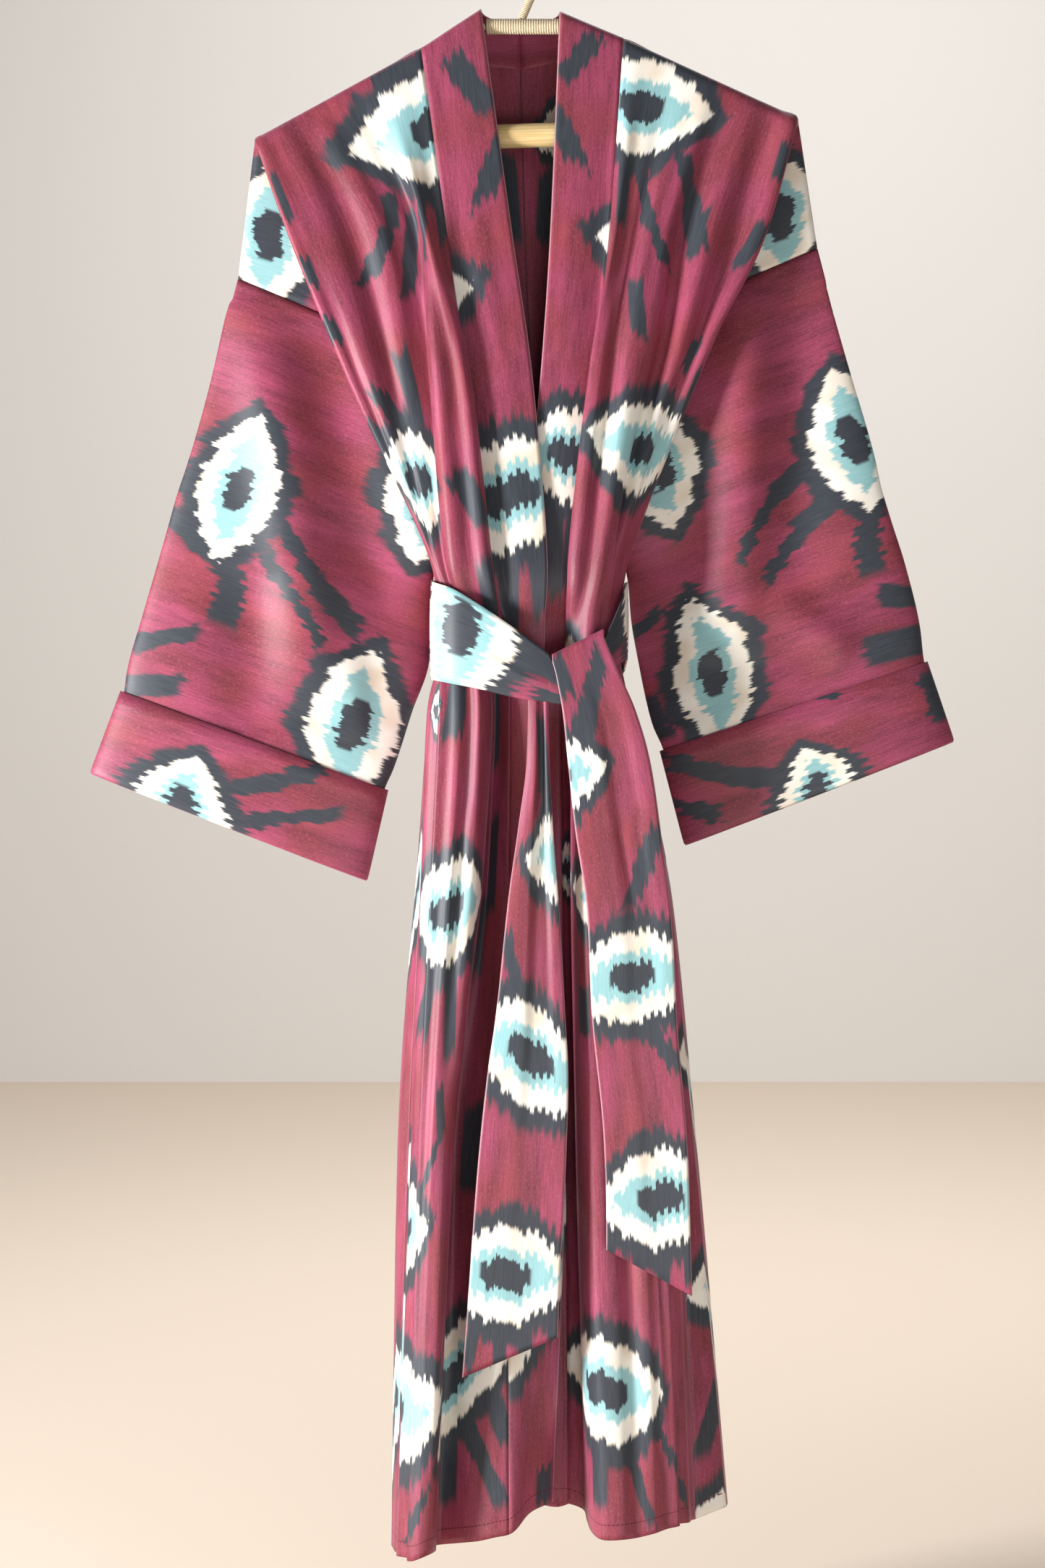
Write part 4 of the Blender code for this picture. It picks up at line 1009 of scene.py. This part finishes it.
for side, flip in (("left", False), ("right", True)):
    table = np.array(SLEEVES[side], float)
    heights = run_length(table[:, [3, 4]])
    where = np.linspace(0, heights[-1], SLEEVE_ROWS)
    places = [Across(*row) for row in hermite(heights, table, where)]
    outward = -1 if side == "left" else 1
    points, flats = tube(places, [0] * len(places), SLEEVE_CREASES[side], outward)
    cloth = ikat(f"ikat_sleeve_{side}", SLEEVE_EYES[side], SLEEVE_STREAKS[side])
    sleeve = sew(f"sleeve_cloth_{side}", [(points, flats)], cloth, flip)
    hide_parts(f"sleeve_{side}")
    top, end = (np.array(place) for place in CUFFS[side])
    places = [Across(*(top + (end - top) * share)) for share, _ in CUFF_ROWS]
    points, flats = tube(places, [inset for _, inset in CUFF_ROWS], (), outward)
    cloth = ikat(f"ikat_cuff_{side}", CUFF_EYES[side], CUFF_STREAKS[side])
    cuff = sew(f"cuff_cloth_{side}", [(points, flats)], cloth, flip)
    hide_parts(f"cuff_{side}")

# The tie belt: a flat doubled band of the same cloth, wrapped once round the waist. Its left end
# comes out from under the front and hangs; its right end folds over the top and hangs in front.
# Each row is one place along the belt: x, y, and the heights of its top and bottom edges.
BELT = (
    (29, -67.5, -598, -630), (21, -68, -595.5, -629), (17, -68, -589.5, -628), (6, -68, -581, -627),
    (-16, -66, -565, -623), (-40, -63, -549, -617), (-60, -57.5, -537, -613), (-73, -46, -532, -610),
    (-76, -35, -530, -609), (-76.4, -16, -528, -607), (-75, 2, -527, -606), (-71, 16.5, -527, -605),
    (-62, 27, -528, -605), (-54, 33.5, -529, -605), (-40, 38.5, -530, -606), (-18, 40.4, -531, -607),
    (6, 40.8, -532, -608), (34, 40, -531, -607), (50, 38, -530, -606), (63, 32, -530, -606),
    (75, 18, -530, -606), (79, 4, -530, -602), (80.2, -12, -530, -598), (81, -28, -531, -592),
    (78, -41, -540, -594), (68, -56, -565, -602), (60, -61.8, -579, -608), (46, -63.6, -582, -614),
    (24, -63.4, -594, -620),
)
BELT_WIDTH = 76
BELT_STEPS = 8
BELT_ROWS = 17
BELT_BULGE = 0.8
BELT_WALL = 1.3
BELT_EYES = ((28, 82, 84, 43, 0.2), (40, 240, 60, 40, 0), (25, 365, 60, 34, 0))
BELT_STREAKS = ((20, -4, 20, 44, 44), (68, -4, 68, 22, 22), (20, 404, 20, 444, 60), (60, 150, 56, 190, 16))
BELT_CREASES = ((48, 70, 50, 12, 3, -2.2),)
stations = np.array(BELT, float)
line = across(stations, [[i / BELT_STEPS for i in range(BELT_STEPS)]] * (len(stations) - 1))
ahead = np.gradient(line[:, :2], axis=0)
outward = np.stack([ahead[:, 1], -ahead[:, 0]], axis=1)
outward /= np.linalg.norm(outward, axis=1)[:, None]
rows = []
shares = np.linspace(0, 1, BELT_ROWS)
for share in shares:
    middle = line[:, :2] - outward * BELT_BULGE * math.sin(math.pi * share)
    height = line[:, 2] + (line[:, 3] - line[:, 2]) * share
    rows.append(np.column_stack([middle, height]))
points = np.array(rows)
run = run_length(line[:, :2])
flats = np.array([[(share * BELT_WIDTH, length) for length in run] for share in shares])
points = crease(points, flats, BELT_CREASES, 1)
cloth = ikat("ikat_belt", BELT_EYES, BELT_STREAKS)
belt = sew("belt_cloth", [(points, flats)], cloth, wall=BELT_WALL)
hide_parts("belt")

# Each row is one place down a hanging end: x and z of its left edge and of its right edge, y, and
# how deep its ripple is.
TAIL_RIGHT = (
    (23, -606, 72.5, -604, -71.5, 0), (28.5, -636, 86, -634, -71.5, 1), (33, -679, 98, -676, -71, 2),
    (38.3, -728, 106.5, -733, -70.5, 2), (48, -797, 115, -803, -70.5, 1.5),
    (51.5, -874, 119, -880, -71, 1), (61, -973, 127.5, -985, -71, 1), (63, -1030, 130, -1060, -71, 0.6),
    (63, -1061.3, 131, -1098, -71, 0),
)
TAIL_FOLD = (20.4, -590.7, 61.1, -570.6, -65.5, 0)
TAIL_FOLD_RADIUS = 6
TAIL_HIDDEN = 12
TAIL_COLUMNS = 29
TAIL_SPACING = 6
TAIL_LEFT = (
    (1, -604, 18, -604, -66.7, 0), (1.5, -630, 17, -630, -64, 1.8), (0.5, -672, 18, -675, -65, 3),
    (-6, -725, 21, -731, -66, 3), (-14, -781, 25.5, -789, -67, 2.5), (-24, -874, 30.5, -874, -68, 2),
    (-31.5, -927, 33, -927, -68.5, 1.5), (-39, -1000, 31, -1000, -69, 1),
    (-47, -1110, 26, -1095, -69, 0.5), (-51, -1163, 25, -1131, -69, 0),
)
TAIL_ACROSS = ((0, 0), (0.2, 0.7), (0.38, 1), (0.55, -0.6), (0.72, -0.9), (0.88, 0.4), (1, 0))
TAIL_EYES = {
    "left": ((100, 148, 80, 38, 0), (40, 305, 66, 41, 0.4), (30, 479, 62, 38, 0)),
    "right": ((-14, 122, 50, 29, 0), (38, 294, 68, 36, 0.2), (50, 474, 62, 38, 0.25)),
}
TAIL_STREAKS = {
    "left": (
        (46, 34, 60, 102, 36), (1, 204, 28, 266, 16), (10, 500, 3, 556, 11), (27, 506, 30, 556, 11),
        (47, 506, 51, 548, 11), (69, 496, 72, 534, 9),
    ),
    "right": (
        (6, 28, 8, 62, 20), (10, 108, 32, 66, 28), (26, 74, 64, 42, 26), (76, 184, 40, 238, 21),
        (44, 334, 77, 380, 18), (7, 486, 2, 508, 11), (30, 496, 28, 544, 11), (52, 500, 50, 556, 12),
        (72, 500, 74, 548, 9),
    ),
}
TAIL_CREASES = {
    "left": ((0, 378, 76, 374, 2.5, 0.8),),
    "right": ((0, 172, 76, 176, 2.5, 0.8), (40, 170, 44, 255, 3, 1), (0, 375, 76, 373, 2.5, 0.8)),
}


def tail_rows(table):
    """Rows across a hanging end of the belt, rippled forward and back."""
    table = np.array(table, float)
    down = run_length(table[:, [0, 1]])
    where = np.linspace(0, down[-1], int(down[-1] / TAIL_SPACING))
    rows = []
    shares = np.linspace(0, 1, TAIL_COLUMNS)
    knots = np.array([share for share, _ in TAIL_ACROSS])
    wave = hermite(knots, np.array([[depth] for _, depth in TAIL_ACROSS]), shares)[:, 0]
    for left_x, left_z, right_x, right_z, y, ripple in hermite(down, table, where):
        x = left_x + (right_x - left_x) * shares
        z = left_z + (right_z - left_z) * shares
        rows.append(np.column_stack([x, y - wave * ripple, z]))
    return np.array(rows)


for side, table in (("left", TAIL_LEFT), ("right", TAIL_RIGHT)):
    points = tail_rows(table)
    if side == "right":
        first_row = tail_rows([TAIL_FOLD, TAIL_RIGHT[0]])[0]
        turned = [first_row + (0, TAIL_FOLD_RADIUS, -TAIL_FOLD_RADIUS - TAIL_HIDDEN)]
        for degrees in range(0, 181, 15):
            angle = math.radians(degrees)
            round_bar = np.array([0, math.cos(angle), math.sin(angle) - 1])
            turned.append(first_row + TAIL_FOLD_RADIUS * round_bar)
        between = turned[-1] + (points[0] - turned[-1]) * np.array([0.35, 0.7])[:, None, None]
        points = np.vstack([turned, between, points])
    flats = lay_flat(points, np.linspace(0, BELT_WIDTH, points.shape[1]))
    points = crease(points, flats, TAIL_CREASES[side], -1)
    pale_edge_lines = (PALE_EDGE_LINE_IN, BELT_WIDTH - PALE_EDGE_LINE_IN)
    cloth = ikat(f"ikat_tail_{side}", TAIL_EYES[side], TAIL_STREAKS[side], pale_edge_lines=pale_edge_lines)
    tail = sew(f"belt_tail_{side}", [(points, flats)], cloth, wall=BELT_WALL)
    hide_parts(f"belt_end_{side}")
    length, area = (0.56, 0.036) if side == "left" else (0.53, 0.04)
